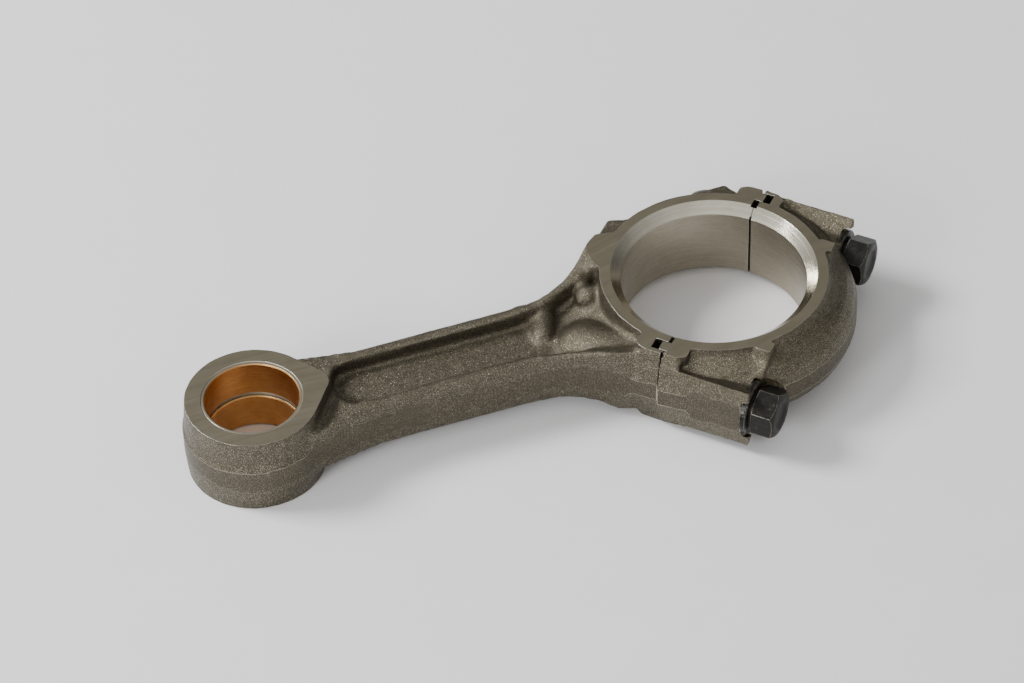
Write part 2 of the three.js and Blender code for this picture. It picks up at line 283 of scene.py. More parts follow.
def plate(outline: Sequence[Point], low: float, high: float) -> Obj:
    """A straight-sided plate.

    Args:
        outline: Its corners in plan, in millimetres, anticlockwise.
        low: Height of its lower face.
        high: Height of its upper face.

    Returns:
        The closed plate.
    """
    deselect()
    bpy.ops.mesh.primitive_circle_add(vertices=len(outline), radius=1, fill_type="NGON")
    piece = bpy.context.object
    for corner, (x, y) in zip(piece.data.vertices, outline):
        corner.co = (x * MM, y * MM, low * MM)
    with editing(piece):
        bpy.ops.mesh.select_all(action="SELECT")
        bpy.ops.mesh.normals_make_consistent(inside=False)
        bpy.ops.mesh.extrude_region_move(
            TRANSFORM_OT_translate={"value": (0, 0, (high - low) * MM)}
        )
    return finished(piece, "plate")


def draft(piece: Obj, face: Face, thickness: float, height: float) -> None:
    """Draw one end face of a plate outwards, tapered in as a die needs.

    Args:
        piece: The plate.
        face: The end to draw out.
        thickness: How far the wall leans in, in millimetres.
        height: How far the face moves.
    """
    with editing(piece) as mesh:
        level = max(v.co.z * face.value for v in mesh.verts)
        ends = [
            f for f in mesh.faces if all(abs(v.co.z * face.value - level) < 1e-6 for v in f.verts)
        ]
        pick_faces(piece, mesh, ends)
        bpy.ops.mesh.inset(thickness=thickness * MM, depth=height * MM, use_even_offset=True)


def forged_plate(outline: Sequence[Point], half: float, taper: float, land: float) -> Obj:
    """A forged plate: full size over the flash band, drafted towards both faces.

    Args:
        outline: Its plan at the band, in millimetres.
        half: Half its height.
        taper: How far each wall leans in.
        land: Height of the band.

    Returns:
        The closed blank.
    """
    piece = plate(outline, -land / 2, land / 2)
    for face in Face:
        draft(piece, face, taper, half - land / 2)
    return finished(piece, "blank")


def turned(profile: Sequence[Point], steps: int = 96) -> Obj:
    """A turned solid about the Z axis.

    Args:
        profile: [radius, height] corners from axis to axis, in millimetres.
        steps: Facets round it.

    Returns:
        The closed solid.
    """
    deselect()
    bpy.ops.mesh.primitive_circle_add(vertices=len(profile), radius=1, fill_type="NOTHING")
    piece = bpy.context.object
    for corner, (radius, height) in zip(piece.data.vertices, profile):
        corner.co = (radius * MM, 0, height * MM)
    with editing(piece) as mesh:
        bpy.ops.mesh.select_mode(type="EDGE")
        bpy.ops.mesh.select_all(action="DESELECT")
        for edge in mesh.edges:
            on_axis = all(v.co.x < 1e-9 for v in edge.verts)
            edge.select_set(on_axis)
        bmesh.update_edit_mesh(piece.data)
        if any(e.select for e in mesh.edges):
            bpy.ops.mesh.delete(type="EDGE")
        bpy.ops.mesh.select_all(action="SELECT")
        bpy.ops.mesh.spin(
            steps=steps, angle=2 * math.pi, center=(0, 0, 0), axis=(0, 0, 1), dupli=False
        )
    return finished(piece, "turned")


def block(low: Vector, high: Vector) -> Obj:
    """A rectangular block, used as a blank or a cutter.

    Args:
        low: Its lowest corner, in millimetres.
        high: Its highest corner.

    Returns:
        The block.
    """
    corners = [(low.x, low.y), (high.x, low.y), (high.x, high.y), (low.x, high.y)]
    return plate(corners, low.z, high.z)


def moved(piece: Obj, matrix: Matrix) -> Obj:
    """Move a piece and put its place into its mesh.

    Args:
        piece: The piece.
        matrix: Where it goes.

    Returns:
        The same piece.
    """
    piece.matrix_world = matrix @ piece.matrix_world
    take(piece)
    bpy.ops.object.transform_apply(location=True, rotation=True, scale=True)
    return piece


def in_joint(piece: Obj) -> Obj:
    """Turn a piece drawn along the bolts (x) and the joint face (y) into the rod's axes."""
    return moved(piece, Matrix.Rotation(SIZES.joint_angle, 4, "Z"))


def on_bolt(piece: Obj, side: Side) -> Obj:
    """Lay a piece turned about Z along one bolt's axis, heads outwards."""
    lay = Matrix.Rotation(math.pi / 2, 4, "Y")
    shift = Matrix.Translation((0, side.value * SIZES.bolt_offset * MM, 0))
    return in_joint(moved(piece, shift @ lay))


def boolean(piece: Obj, tools: Sequence[Obj], operation: str) -> Obj:
    """Join or cut a piece with others, which are used up.

    Args:
        piece: The piece that stays.
        tools: The pieces to join to it or cut it with.
        operation: UNION, DIFFERENCE or INTERSECT.

    Returns:
        The same piece.
    """
    for tool in tools:
        take(piece)
        step = piece.modifiers.new("step", "BOOLEAN")
        step.operation = operation
        step.solver = "MANIFOLD"
        step.object = tool
        if hasattr(step, "material_mode"):
            step.material_mode = "TRANSFER"
        bpy.ops.object.modifier_apply(modifier=step.name)
        bpy.data.objects.remove(tool)
    return piece


def merged(pieces: Sequence[Obj]) -> Obj:
    """Put overlapping blanks into one mesh, without joining their surfaces.

    Args:
        pieces: The blanks; the first one stays.

    Returns:
        The first piece, with the others in its mesh.
    """
    deselect()
    for piece in pieces:
        piece.select_set(True)
    bpy.context.view_layer.objects.active = pieces[0]
    bpy.ops.object.join()
    return pieces[0]


def fused(piece: Obj, grain: float) -> Obj:
    """Turn overlapping blanks in one mesh into one even skin.

    Args:
        piece: The blanks.
        grain: Size of the skin's facets, in millimetres.

    Returns:
        The same piece.
    """
    take(piece)
    skin = piece.modifiers.new("skin", "REMESH")
    skin.mode = "VOXEL"
    skin.voxel_size = grain * MM
    bpy.ops.object.modifier_apply(modifier=skin.name)
    return piece


def uneven(piece: Obj, depth: float, size: float) -> Obj:
    """Give a forged skin the slight waviness that the dies leave.

    Args:
        piece: The skin.
        depth: Height of the waves, in millimetres.
        size: Distance between them.

    Returns:
        The same piece.
    """
    pattern = bpy.data.textures.new("die waves", "CLOUDS")
    pattern.noise_scale = size * MM
    pattern.noise_depth = 1
    take(piece)
    waves = piece.modifiers.new("waves", "DISPLACE")
    waves.texture = pattern
    waves.texture_coords = "LOCAL"
    waves.strength = depth * MM
    bpy.ops.object.modifier_apply(modifier=waves.name)
    return piece


def forge(piece: Obj, grain: float, passes: int) -> Obj:
    """Let a blank's corners flow into fillets, as in the forging die.

    Args:
        piece: Overlapping blanks in one mesh.
        grain: Size of the surface's facets, in millimetres.
        passes: Smoothing passes; more passes give larger fillets.

    Returns:
        The same piece as one even skin.
    """
    fused(piece, grain)
    flow = piece.modifiers.new("flow", "SMOOTH")
    flow.factor = 0.5
    flow.iterations = passes
    bpy.ops.object.modifier_apply(modifier=flow.name)
    return piece


def dress(piece: Obj, finish: Mat) -> Obj:
    """Give every face of a piece one finish.

    Args:
        piece: The piece.
        finish: The material.

    Returns:
        The same piece.
    """
    piece.data.materials.clear()
    piece.data.materials.append(finish)
    return piece


def hand_over(piece: Obj, name: str, origin: Vector, angle: float = 32.0) -> Obj:
    """Move a finished piece from the drawing's axes to its place and shade it.

    Args:
        piece: The finished piece, drawn about the crank-pin bore.
        name: Its final name.
        origin: The bore's centre in the row frame.
        angle: Edges sharper than this stay crisp, in degrees.

    Returns:
        The same piece.
    """
    moved(piece, Matrix.Translation(origin))
    piece.name = name
    piece.data.name = name
    with editing(piece) as mesh:
        bpy.ops.mesh.select_mode(type="EDGE")
        bpy.ops.mesh.select_all(action="DESELECT")
        for edge in mesh.edges:
            edge.select_set(len({f.material_index for f in edge.link_faces}) > 1)
        bmesh.update_edit_mesh(piece.data)
        bpy.ops.mesh.mark_sharp()
    bpy.ops.object.shade_smooth_by_angle(angle=math.radians(angle), keep_sharp_edges=True)
    return piece


# --------------------------------------------------------------------------- effect groups
class Nodes:
    """Short hand for laying nodes in one tree, left to right."""

    def __init__(self, tree: Tree) -> None:
        """Keep the tree.

        Args:
            tree: The node tree to fill.
        """
        self.tree = tree

    def add(self, kind: str, **settings: object) -> bpy.types.Node:
        """Add a node.

        Args:
            kind: Its type without the ShaderNode prefix.
            settings: Properties of the node to set.

        Returns:
            The new node.
        """
        node = self.tree.nodes.new(kind if kind.startswith("Node") else "ShaderNode" + kind)
        for name, value in settings.items():
            setattr(node, name, value)
        return node

    def feed(self, socket: Socket, value: object) -> None:
        """Link an output to a socket, or set the socket's own value."""
        if isinstance(value, bpy.types.NodeSocket):
            self.tree.links.new(value, socket)
        else:
            socket.default_value = value

    def math(self, operation: str, first: object, second: object = 0.0) -> Socket:
        """One math step on two values."""
        node = self.add("Math", operation=operation)
        self.feed(node.inputs[0], first)
        self.feed(node.inputs[1], second)
        return node.outputs[0]

    def vector(self, operation: str, first: object, second: object = (0, 0, 0)) -> Socket:
        """One vector step, giving its vector."""
        node = self.add("VectorMath", operation=operation)
        self.feed(node.inputs[0], first)
        self.feed(node.inputs[1], second)
        return node.outputs["Vector"]

    def noise(self, where: Socket, scale: float, detail: float = 2.0, rough: float = 0.5) -> Socket:
        """Fractal noise, 0 to 1."""
        node = self.add("TexNoise")
        self.feed(node.inputs["Vector"], where)
        node.inputs["Scale"].default_value = scale
        node.inputs["Detail"].default_value = detail
        node.inputs["Roughness"].default_value = rough
        return node.outputs["Fac"]

    def span(self, value: Socket, low: float, high: float, to_low: float, to_high: float) -> Socket:
        """Map one range onto another, clamped."""
        node = self.add("MapRange", clamp=True)
        self.feed(node.inputs["Value"], value)
        for name, number in zip(("From Min", "From Max", "To Min", "To Max"), (low, high, to_low, to_high)):
            node.inputs[name].default_value = number
        return node.outputs["Result"]

    def mix(self, factor: object, first: object, second: object) -> Socket:
        """Mix two colours."""
        node = self.add("Mix", data_type="RGBA")
        self.feed(node.inputs["Factor"], factor)
        self.feed(node.inputs["A"], first)
        self.feed(node.inputs["B"], second)
        return node.outputs["Result"]


def group(name: str, inputs: dict[str, str], outputs: dict[str, str]) -> tuple[Tree, Nodes]:
    """A new shader node group.

    Args:
        name: Its name.
        inputs: Socket name to socket type.
        outputs: Socket name to socket type.

    Returns:
        The group's tree and its node helper.
    """
    tree = bpy.data.node_groups.new(name, "ShaderNodeTree")
    for way, sockets in (("INPUT", inputs), ("OUTPUT", outputs)):
        for label, kind in sockets.items():
            tree.interface.new_socket(label, in_out=way, socket_type="NodeSocket" + kind)
    return tree, Nodes(tree)


def blast_grain_group() -> Tree:
    """Peened skin of a shot-blasted forging: a height and a speckle, from a place; the speckle also places painted
    sparkle highlights.

    Returns:
        A group with inputs Place and Size, and outputs Height, Speckle and Cloud.
    """
    tree, n = group(
        "blast grain",
        {"Place": "Vector", "Size": "Float"},
        {"Height": "Float", "Speckle": "Float", "Cloud": "Float"},
    )
    source, sink = n.add("NodeGroupInput"), n.add("NodeGroupOutput")
    scaled = n.add("VectorMath", operation="SCALE")
    n.feed(scaled.inputs[0], source.outputs["Place"])
    n.feed(scaled.inputs["Scale"], n.math("DIVIDE", 1.0, source.outputs["Size"]))
    place = scaled.outputs["Vector"]
    cells = n.add("TexVoronoi", feature="SMOOTH_F1")
    n.feed(cells.inputs["Vector"], place)
    cells.inputs["Scale"].default_value = 1.0
    cells.inputs["Smoothness"].default_value = 0.35
    fine = n.noise(place, 1.6, 3.0, 0.65)
    broad = n.noise(place, 0.11, 4.0, 0.55)
    height = n.math("ADD", n.math("MULTIPLY", cells.outputs["Distance"], 0.7), n.math("MULTIPLY", fine, 0.8))
    n.feed(sink.inputs["Height"], height)
    n.feed(sink.inputs["Speckle"], n.span(n.noise(place, 1.05, 2.0, 0.65), 0.55, 0.68, 0.0, 1.0))
    n.feed(sink.inputs["Cloud"], broad)
    return tree


def tool_marks_group() -> Tree:
    """Fine lines left by grinding or turning, drawn out along a stretched place.

    Returns:
        A group with input Place (already stretched) and outputs Height and Streak.
    """
    tree, n = group("tool marks", {"Place": "Vector"}, {"Height": "Float", "Streak": "Float"})
    source, sink = n.add("NodeGroupInput"), n.add("NodeGroupOutput")
    place = source.outputs["Place"]
    fine = n.noise(place, 1.0, 3.0, 0.6)
    broad = n.noise(place, 0.16, 2.0, 0.5)
    n.feed(sink.inputs["Height"], n.math("ADD", n.math("MULTIPLY", fine, 0.7), n.math("MULTIPLY", broad, 0.3)))
    n.feed(sink.inputs["Streak"], n.math("ADD", n.math("MULTIPLY", fine, 0.45), n.math("MULTIPLY", broad, 0.55)))
    return tree


def edge_rub_and_highlight_group() -> Tree:
    """Where corners are painted bright, partly as rubbed corners and partly as painted edge highlight: compares the
    rounded normal with the true one.

    Returns:
        A group with inputs Rounded and Reach, and output Wear, 0 on flats and 1 on corners.
    """
    tree, n = group("edge wear", {"Rounded": "Vector", "Gain": "Float"}, {"Wear": "Float"})
    source, sink = n.add("NodeGroupInput"), n.add("NodeGroupOutput")
    shape = n.add("NewGeometry")
    dot = n.add("VectorMath", operation="DOT_PRODUCT")
    n.feed(dot.inputs[0], source.outputs["Rounded"])
    n.feed(dot.inputs[1], shape.outputs["Normal"])
    turned_by = n.math("SUBTRACT", 1.0, dot.outputs["Value"])
    gained = n.math("MULTIPLY", turned_by, source.outputs["Gain"])
    n.feed(sink.inputs["Wear"], n.span(gained, 0.0, 1.0, 0.0, 1.0))
    return tree


@dataclass
class Effects:
    """The shared effect groups, each built once."""

    grain: Tree = field(default_factory=blast_grain_group)
    marks: Tree = field(default_factory=tool_marks_group)
    wear: Tree = field(default_factory=edge_rub_and_highlight_group)

    def place(self, n: Nodes, tree: Tree, **inputs: object) -> bpy.types.Node:
        """Put one group into a material and set its inputs.

        Args:
            n: The material's node helper.
            tree: The group.
            inputs: Values or sockets by input name.

        Returns:
            The group node.
        """
        node = n.add("Group", node_tree=tree)
        for name, value in inputs.items():
            n.feed(node.inputs[name], value)
        return node


# --------------------------------------------------------------------------- finishes
Colour = tuple[float, float, float, float]


def blank_finish(name: str) -> tuple[Mat, Nodes, bpy.types.Node]:
    """A material with only its shader and output.

    Args:
        name: The material's name.

    Returns:
        The material, its node helper and its Principled shader.
    """
    material = bpy.data.materials.new(name)
    material.use_nodes = True
    material.node_tree.nodes.clear()
    n = Nodes(material.node_tree)
    shader, sink = n.add("BsdfPrincipled"), n.add("OutputMaterial")
    n.feed(sink.inputs["Surface"], shader.outputs["BSDF"])
    return material, n, shader


def drawing_place(n: Nodes, origin: Vector) -> Socket:
    """The place on the piece in millimetres about the crank-pin bore.

    Args:
        n: The material's node helper.
        origin: The bore's centre in the row frame.

    Returns:
        The place.
    """
    scaled = n.add("VectorMath", operation="SCALE")
    n.feed(scaled.inputs[0], n.add("TexCoord").outputs["Object"])
    scaled.inputs["Scale"].default_value = 1 / MM
    return n.vector("SUBTRACT", scaled.outputs["Vector"], tuple(origin / MM))


def bump(n: Nodes, height: Socket, depth: float, onto: Socket | None = None) -> Socket:
    """Raise a height as surface relief.

    Args:
        n: The material's node helper.
        height: The height, about 0 to 1.
        depth: What 1 stands for, in millimetres.
        onto: A normal to add the relief to.

    Returns:
        The new normal.
    """
    node = n.add("Bump")
    node.inputs["Strength"].default_value = 1.0
    node.inputs["Distance"].default_value = depth * MM
    n.feed(node.inputs["Height"], height)
    if onto is not None:
        n.feed(node.inputs["Normal"], onto)
    return node.outputs["Normal"]


@dataclass(frozen=True)
class BlastedSteel:
    """Skin of a forging after heat treatment and shot blasting, with painted sparkle highlights in its colour."""

    name: str
    dark: Colour
    light: Colour
    # Colour of the painted sparkle highlights.
    painted_glint: Colour = (0.8, 0.74, 0.56, 1)
    grain: float = 0.4
    lump: float = 0.2
    grain_depth: float = 0.22
    roughness: float = 0.43

    def make(self, effects: Effects, origin: Vector) -> Mat:
        """Build the material.

        Args:
            effects: The shared groups.
            origin: The bore's centre in the row frame.

        Returns:
            The material.
        """
        material, n, shader = blank_finish(self.name)
        place = drawing_place(n, origin)
        grain = effects.place(n, effects.grain, Place=place, Size=self.grain)
        tone = n.mix(n.span(grain.outputs["Cloud"], 0.25, 0.75, 0, 1), self.dark, self.light)
        # Painted highlight: sparkles mixed into the base colour at the speckle.
        tone = n.mix(n.math("MULTIPLY", grain.outputs["Speckle"], 0.62), tone, self.painted_glint)
        n.feed(shader.inputs["Base Color"], tone)
        shader.inputs["Metallic"].default_value = 0.9
        rough = n.span(grain.outputs["Speckle"], 0, 1, self.roughness, self.roughness - 0.2)
        n.feed(shader.inputs["Roughness"], rough)
        lumps = bump(n, n.noise(place, 0.16, 3.0, 0.55), self.lump)
        n.feed(shader.inputs["Normal"], bump(n, grain.outputs["Height"], self.grain_depth, lumps))
        return material


@dataclass(frozen=True)
class MachinedMetal:
    """Ground, bored or turned metal: fine lines round a centre, and corners painted bright, partly rubbed by use and
    partly painted edge highlight.
    """

    name: str
    base: Colour
    stain: Colour
    # Colour of the bright corners: rubbed metal and painted edge highlight.
    bright: Colour = (0.72, 0.71, 0.68, 1)
    roughness: float = 0.3
    centre: tuple[float, float, float] = (0, 0, 0)
    turn: tuple[float, float, float] = (0, 0, 0)
    across: float = 3.4
    along: float = 2.0
    depth: float = 0.01
    swirl: float = 0.0
    contrast: float = 0.5
    corner: float = 0.3
    metallic: float = 1.0
    wear: float = 1.0
    streaks: float = 0.45

    def make(self, effects: Effects, origin: Vector) -> Mat:
        """Build the material.

        Args:
            effects: The shared groups.
            origin: The bore's centre in the row frame.

        Returns:
            The material.
        """
        material, n, shader = blank_finish(self.name)
        drawn = drawing_place(n, origin)
        local = n.add("Mapping", vector_type="TEXTURE")
        n.feed(local.inputs["Vector"], drawn)
        local.inputs["Location"].default_value = self.centre
        local.inputs["Rotation"].default_value = self.turn
        parts = n.add("SeparateXYZ")
        n.feed(parts.inputs[0], local.outputs[0])
        flat = n.vector("MULTIPLY", local.outputs[0], (1, 1, 0))
        radius = n.add("VectorMath", operation="LENGTH")
        n.feed(radius.inputs[0], flat)
        heading = n.vector("NORMALIZE", flat)
        aim = n.add("SeparateXYZ")
        n.feed(aim.inputs[0], heading)
        lines = n.add("CombineXYZ")
        n.feed(lines.inputs[0], n.math("MULTIPLY", aim.outputs[0], self.along))
        n.feed(lines.inputs[1], n.math("MULTIPLY", aim.outputs[1], self.along))
        rise = n.math("MULTIPLY", parts.outputs[2], 1.37)
        n.feed(lines.inputs[2], n.math("MULTIPLY", n.math("ADD", radius.outputs["Value"], rise), self.across))
        marks = effects.place(n, effects.marks, Place=lines.outputs[0])
        corner = n.add("Bevel", samples=4)
        corner.inputs["Radius"].default_value = self.corner * MM
        # Mask of the bright corners, rubbed by use and painted as edge highlight.
        rubbed_and_lit = effects.place(n, effects.wear, Rounded=corner.outputs[0], Gain=5.0 * self.wear)
        cloud = n.span(n.noise(drawn, 0.09, 4.0, 0.6), 0.4, 0.66, 0, self.contrast)
        tone = n.mix(cloud, self.base, self.stain)
        streak = n.span(marks.outputs["Streak"], 0.35, 0.65, -0.1, 0.1)
        lit = n.add("HueSaturation")
        n.feed(lit.inputs["Color"], tone)
        level = n.math("ADD", 1.0, n.math("MULTIPLY", streak, 2 * self.streaks))
        n.feed(lit.inputs["Value"], level)
        # Painted highlight on the corners, partly rubbed metal, mixed into the base colour.
        n.feed(shader.inputs["Base Color"], n.mix(rubbed_and_lit.outputs["Wear"], lit.outputs["Color"], self.bright))
        shader.inputs["Metallic"].default_value = self.metallic
        n.feed(shader.inputs["Roughness"], n.math("ADD", self.roughness, streak))
        shader.inputs["Anisotropic"].default_value = self.swirl
        if self.swirl:
            across = n.vector("NORMALIZE", n.vector("CROSS_PRODUCT", (0.0, 0.0, 1.0), flat))
            n.feed(shader.inputs["Tangent"], across)
        n.feed(shader.inputs["Normal"], bump(n, marks.outputs["Height"], self.depth, corner.outputs[0]))
        return material


@dataclass(frozen=True)
class BlackOxide:
    """Oiled black oxide on a bolt or washer, rubbed bright in patches and on its corners, where the bright corners are
    also painted edge highlight.
    """

    name: str
    base: Colour = (0.006, 0.006, 0.005, 1)
    brown: Colour = (0.018, 0.016, 0.012, 1)
    bright: Colour = (0.5, 0.47, 0.4, 1)
    roughness: float = 0.38
    rub: float = 0.12

    def make(self, effects: Effects, origin: Vector) -> Mat:
        """Build the material.

        Args:
            effects: The shared groups.
            origin: The bore's centre in the row frame.

        Returns:
            The material.
        """
        material, n, shader = blank_finish(self.name)
        place = drawing_place(n, origin)
        corner = n.add("Bevel", samples=4)
        corner.inputs["Radius"].default_value = 0.45 * MM
        rubbed_and_lit = effects.place(n, effects.wear, Rounded=corner.outputs[0], Gain=6.0)
        patch = n.noise(place, 0.5, 4.0, 0.65)
        ragged = n.math("MULTIPLY", rubbed_and_lit.outputs["Wear"], n.span(patch, 0.35, 0.6, 0.15, 1.0))
        rubbed = n.span(n.noise(place, 0.2, 5.0, 0.7), 0.6, 0.72, 0.0, self.rub)
        bare_and_lit = n.math("MAXIMUM", ragged, rubbed)
        tone = n.mix(n.span(patch, 0.4, 0.7, 0, 1), self.base, self.brown)
        # Rubbed patches are real rubbing; the bright corners are rubbing and painted edge highlight.
        n.feed(shader.inputs["Base Color"], n.mix(bare_and_lit, tone, self.bright))
        n.feed(shader.inputs["Metallic"], bare_and_lit)
        shader.inputs["Specular IOR Level"].default_value = 0.16
        n.feed(shader.inputs["Roughness"], n.math("ADD", self.roughness, n.span(patch, 0.3, 0.7, -0.08, 0.1)))
        fine = n.noise(place, 3.0, 3.0, 0.6)
        n.feed(shader.inputs["Normal"], bump(n, fine, 0.012, corner.outputs[0]))
        return material


@dataclass(frozen=True)
class ShearedFlash:
    """Band where the trimming die sheared the flash off the forging, with painted sparkle highlights and a painted
    highlight along its edges.
    """

    name: str = "sheared flash band"
    dark: Colour = (0.069, 0.06, 0.043, 1)
    light: Colour = (0.09, 0.078, 0.057, 1)
    painted_glint: Colour = (0.7, 0.64, 0.48, 1)

    def make(self, effects: Effects, origin: Vector) -> Mat:
        """Build the material.

        Args:
            effects: The shared groups.
            origin: The bore's centre in the row frame.

        Returns:
            The material.
        """
        material, n, shader = blank_finish(self.name)
        place = drawing_place(n, origin)
        sheared = n.vector("MULTIPLY", place, (0.16, 0.16, 1.1))
        marks = effects.place(n, effects.marks, Place=sheared)
        corner = n.add("Bevel", samples=4)
        corner.inputs["Radius"].default_value = 0.5 * MM
        # Painted highlight: a high gain lights the shallow edges of the band.
        rubbed_and_lit = effects.place(n, effects.wear, Rounded=corner.outputs[0], Gain=110.0)
        grain = effects.place(n, effects.grain, Place=place, Size=0.4)
        tone = n.mix(n.span(marks.outputs["Streak"], 0.36, 0.64, 0, 1), self.dark, self.light)
        # Painted highlight: sparkles mixed into the colour at the speckle.
        tone = n.mix(n.math("MULTIPLY", grain.outputs["Speckle"], 0.4), tone, self.painted_glint)
        n.feed(shader.inputs["Base Color"], n.mix(rubbed_and_lit.outputs["Wear"], tone, self.painted_glint))
        shader.inputs["Metallic"].default_value = 0.95
        n.feed(shader.inputs["Roughness"], n.span(marks.outputs["Height"], 0.3, 0.7, 0.34, 0.5))
        blasted = bump(n, grain.outputs["Height"], 0.15)
        n.feed(shader.inputs["Normal"], bump(n, marks.outputs["Height"], 0.03, blasted))
        return material


ON_BOLT = (0.0, math.pi / 2, SIZES.joint_angle)


def bolt_centre(side: Side) -> tuple[float, float, float]:
    """A point on one bolt's axis, in the drawing's axes."""
    place = Matrix.Rotation(SIZES.joint_angle, 3, "Z") @ Vector((0, side.value * SIZES.bolt_offset, 0))
    return tuple(place)


@dataclass
class Finishes:
    """Every finish of the rod, built once."""

    effects: Effects
    origin: Vector

    def __post_init__(self) -> None:
        """Build the materials."""
        steel, dull = (0.315, 0.287, 0.215, 1), (0.27, 0.243, 0.178, 1)
        sizes = SIZES
        eye = (-sizes.centre_distance, 0.0, 0.0)
        make = lambda finish: finish.make(self.effects, self.origin)
        self.rod_skin = make(
            BlastedSteel("blasted rod skin", (0.066, 0.057, 0.041, 1), (0.098, 0.086, 0.062, 1))
        )
        self.cap_skin = make(
            BlastedSteel("blasted cap skin", (0.07, 0.061, 0.043, 1), (0.102, 0.09, 0.064, 1))
        )
        self.flash = make(ShearedFlash())
        self.thrust = make(
            MachinedMetal(
                "ground thrust face", steel, dull, centre=(90, -420, 0), along=9, roughness=0.38, depth=0.01,
                across=12.0, streaks=0.14
            )
        )
        self.eye_face = make(
            MachinedMetal(
                "ground eye face",
                steel,
                dull,
                centre=(-228, -430, 0),
                along=9,
                roughness=0.38,
                depth=0.01,
                across=12.0,
                streaks=0.14,
            )
        )
        self.bore = make(
            MachinedMetal("honed housing bore", (0.36, 0.325, 0.26, 1), steel, roughness=0.3, swirl=0.3, across=9.0, streaks=0.2)
        )
        self.chamfer = make(
            MachinedMetal(
                "turned chamfer",
                (0.62, 0.59, 0.5, 1),
                steel,
                roughness=0.17,
                swirl=0.8,
                contrast=0.2,
                across=5.0,
            )
        )
        # Painted light: the eye bore is pale and little metallic so that the shaded gap between the bushes reads
        # light.
        self.eye_bore = make(
            MachinedMetal("bored eye", (0.75, 0.69, 0.56, 1), steel, centre=eye, roughness=0.55, metallic=0.3)
        )
        self.joint = make(
            MachinedMetal(
                "broached joint", steel, dull, centre=(0, 0, 900), along=20, roughness=0.33, depth=0.01
            )
        )
        # Painted shade: the relief slots at the split are near black, standing in for the shadow in the split line.
        self.painted_slot_shade = make(
            MachinedMetal("oily joint edge", (0.02, 0.018, 0.013, 1), (0.04, 0.035, 0.026, 1), roughness=0.6, wear=0.3)
        )
        self.bronze = make(
            MachinedMetal(
                "bored bronze",
                (0.6, 0.335, 0.125, 1),
                (0.42, 0.215, 0.07, 1),
                # Bright colour of the bronze's corners: rubbed metal and painted edge highlight.
                bright=(1.0, 0.85, 0.66, 1),
                centre=eye,
                roughness=0.34,
                swirl=0.3,
                contrast=0.7,
                across=5.0,
                corner=0.22,
            )
        )
        self.bush_back = make(
            MachinedMetal("steel bush back", (0.42, 0.385, 0.3, 1), steel, centre=eye, roughness=0.33)
        )
        self.oxide = make(BlackOxide("black oxide bolt"))
        self.washer = make(BlackOxide("black oxide washer", rub=0.4, roughness=0.3))
        self.hole = {
            side: make(
                MachinedMetal(
                    f"tapped hole {side.word}",
                    dull,
                    dull,
                    centre=bolt_centre(side),
                    turn=ON_BOLT,
                    across=0.5,
                    depth=0.05,
                )
            )
            for side in Side
        }
        self.seat = {
            side: make(
                MachinedMetal(
                    f"spotface {side.word}",
                    steel,
                    dull,
                    centre=bolt_centre(side),
                    turn=ON_BOLT,
                    roughness=0.3,
                    swirl=0.0,
                )
            )
            for side in Side
        }


# --------------------------------------------------------------------------- forgings
def joint_block(low: Point, high: Point, half: float = 27.0) -> Obj:
    """A block drawn in the joint's axes, as tall as is needed to cut through the big end.

    Args:
        low: Lowest x and y, in millimetres.
        high: Highest x and y.
        half: Half its height.

    Returns:
        The block, in the rod's axes.
    """
    return in_joint(block(Vector((*low, -half)), Vector((*high, half))))


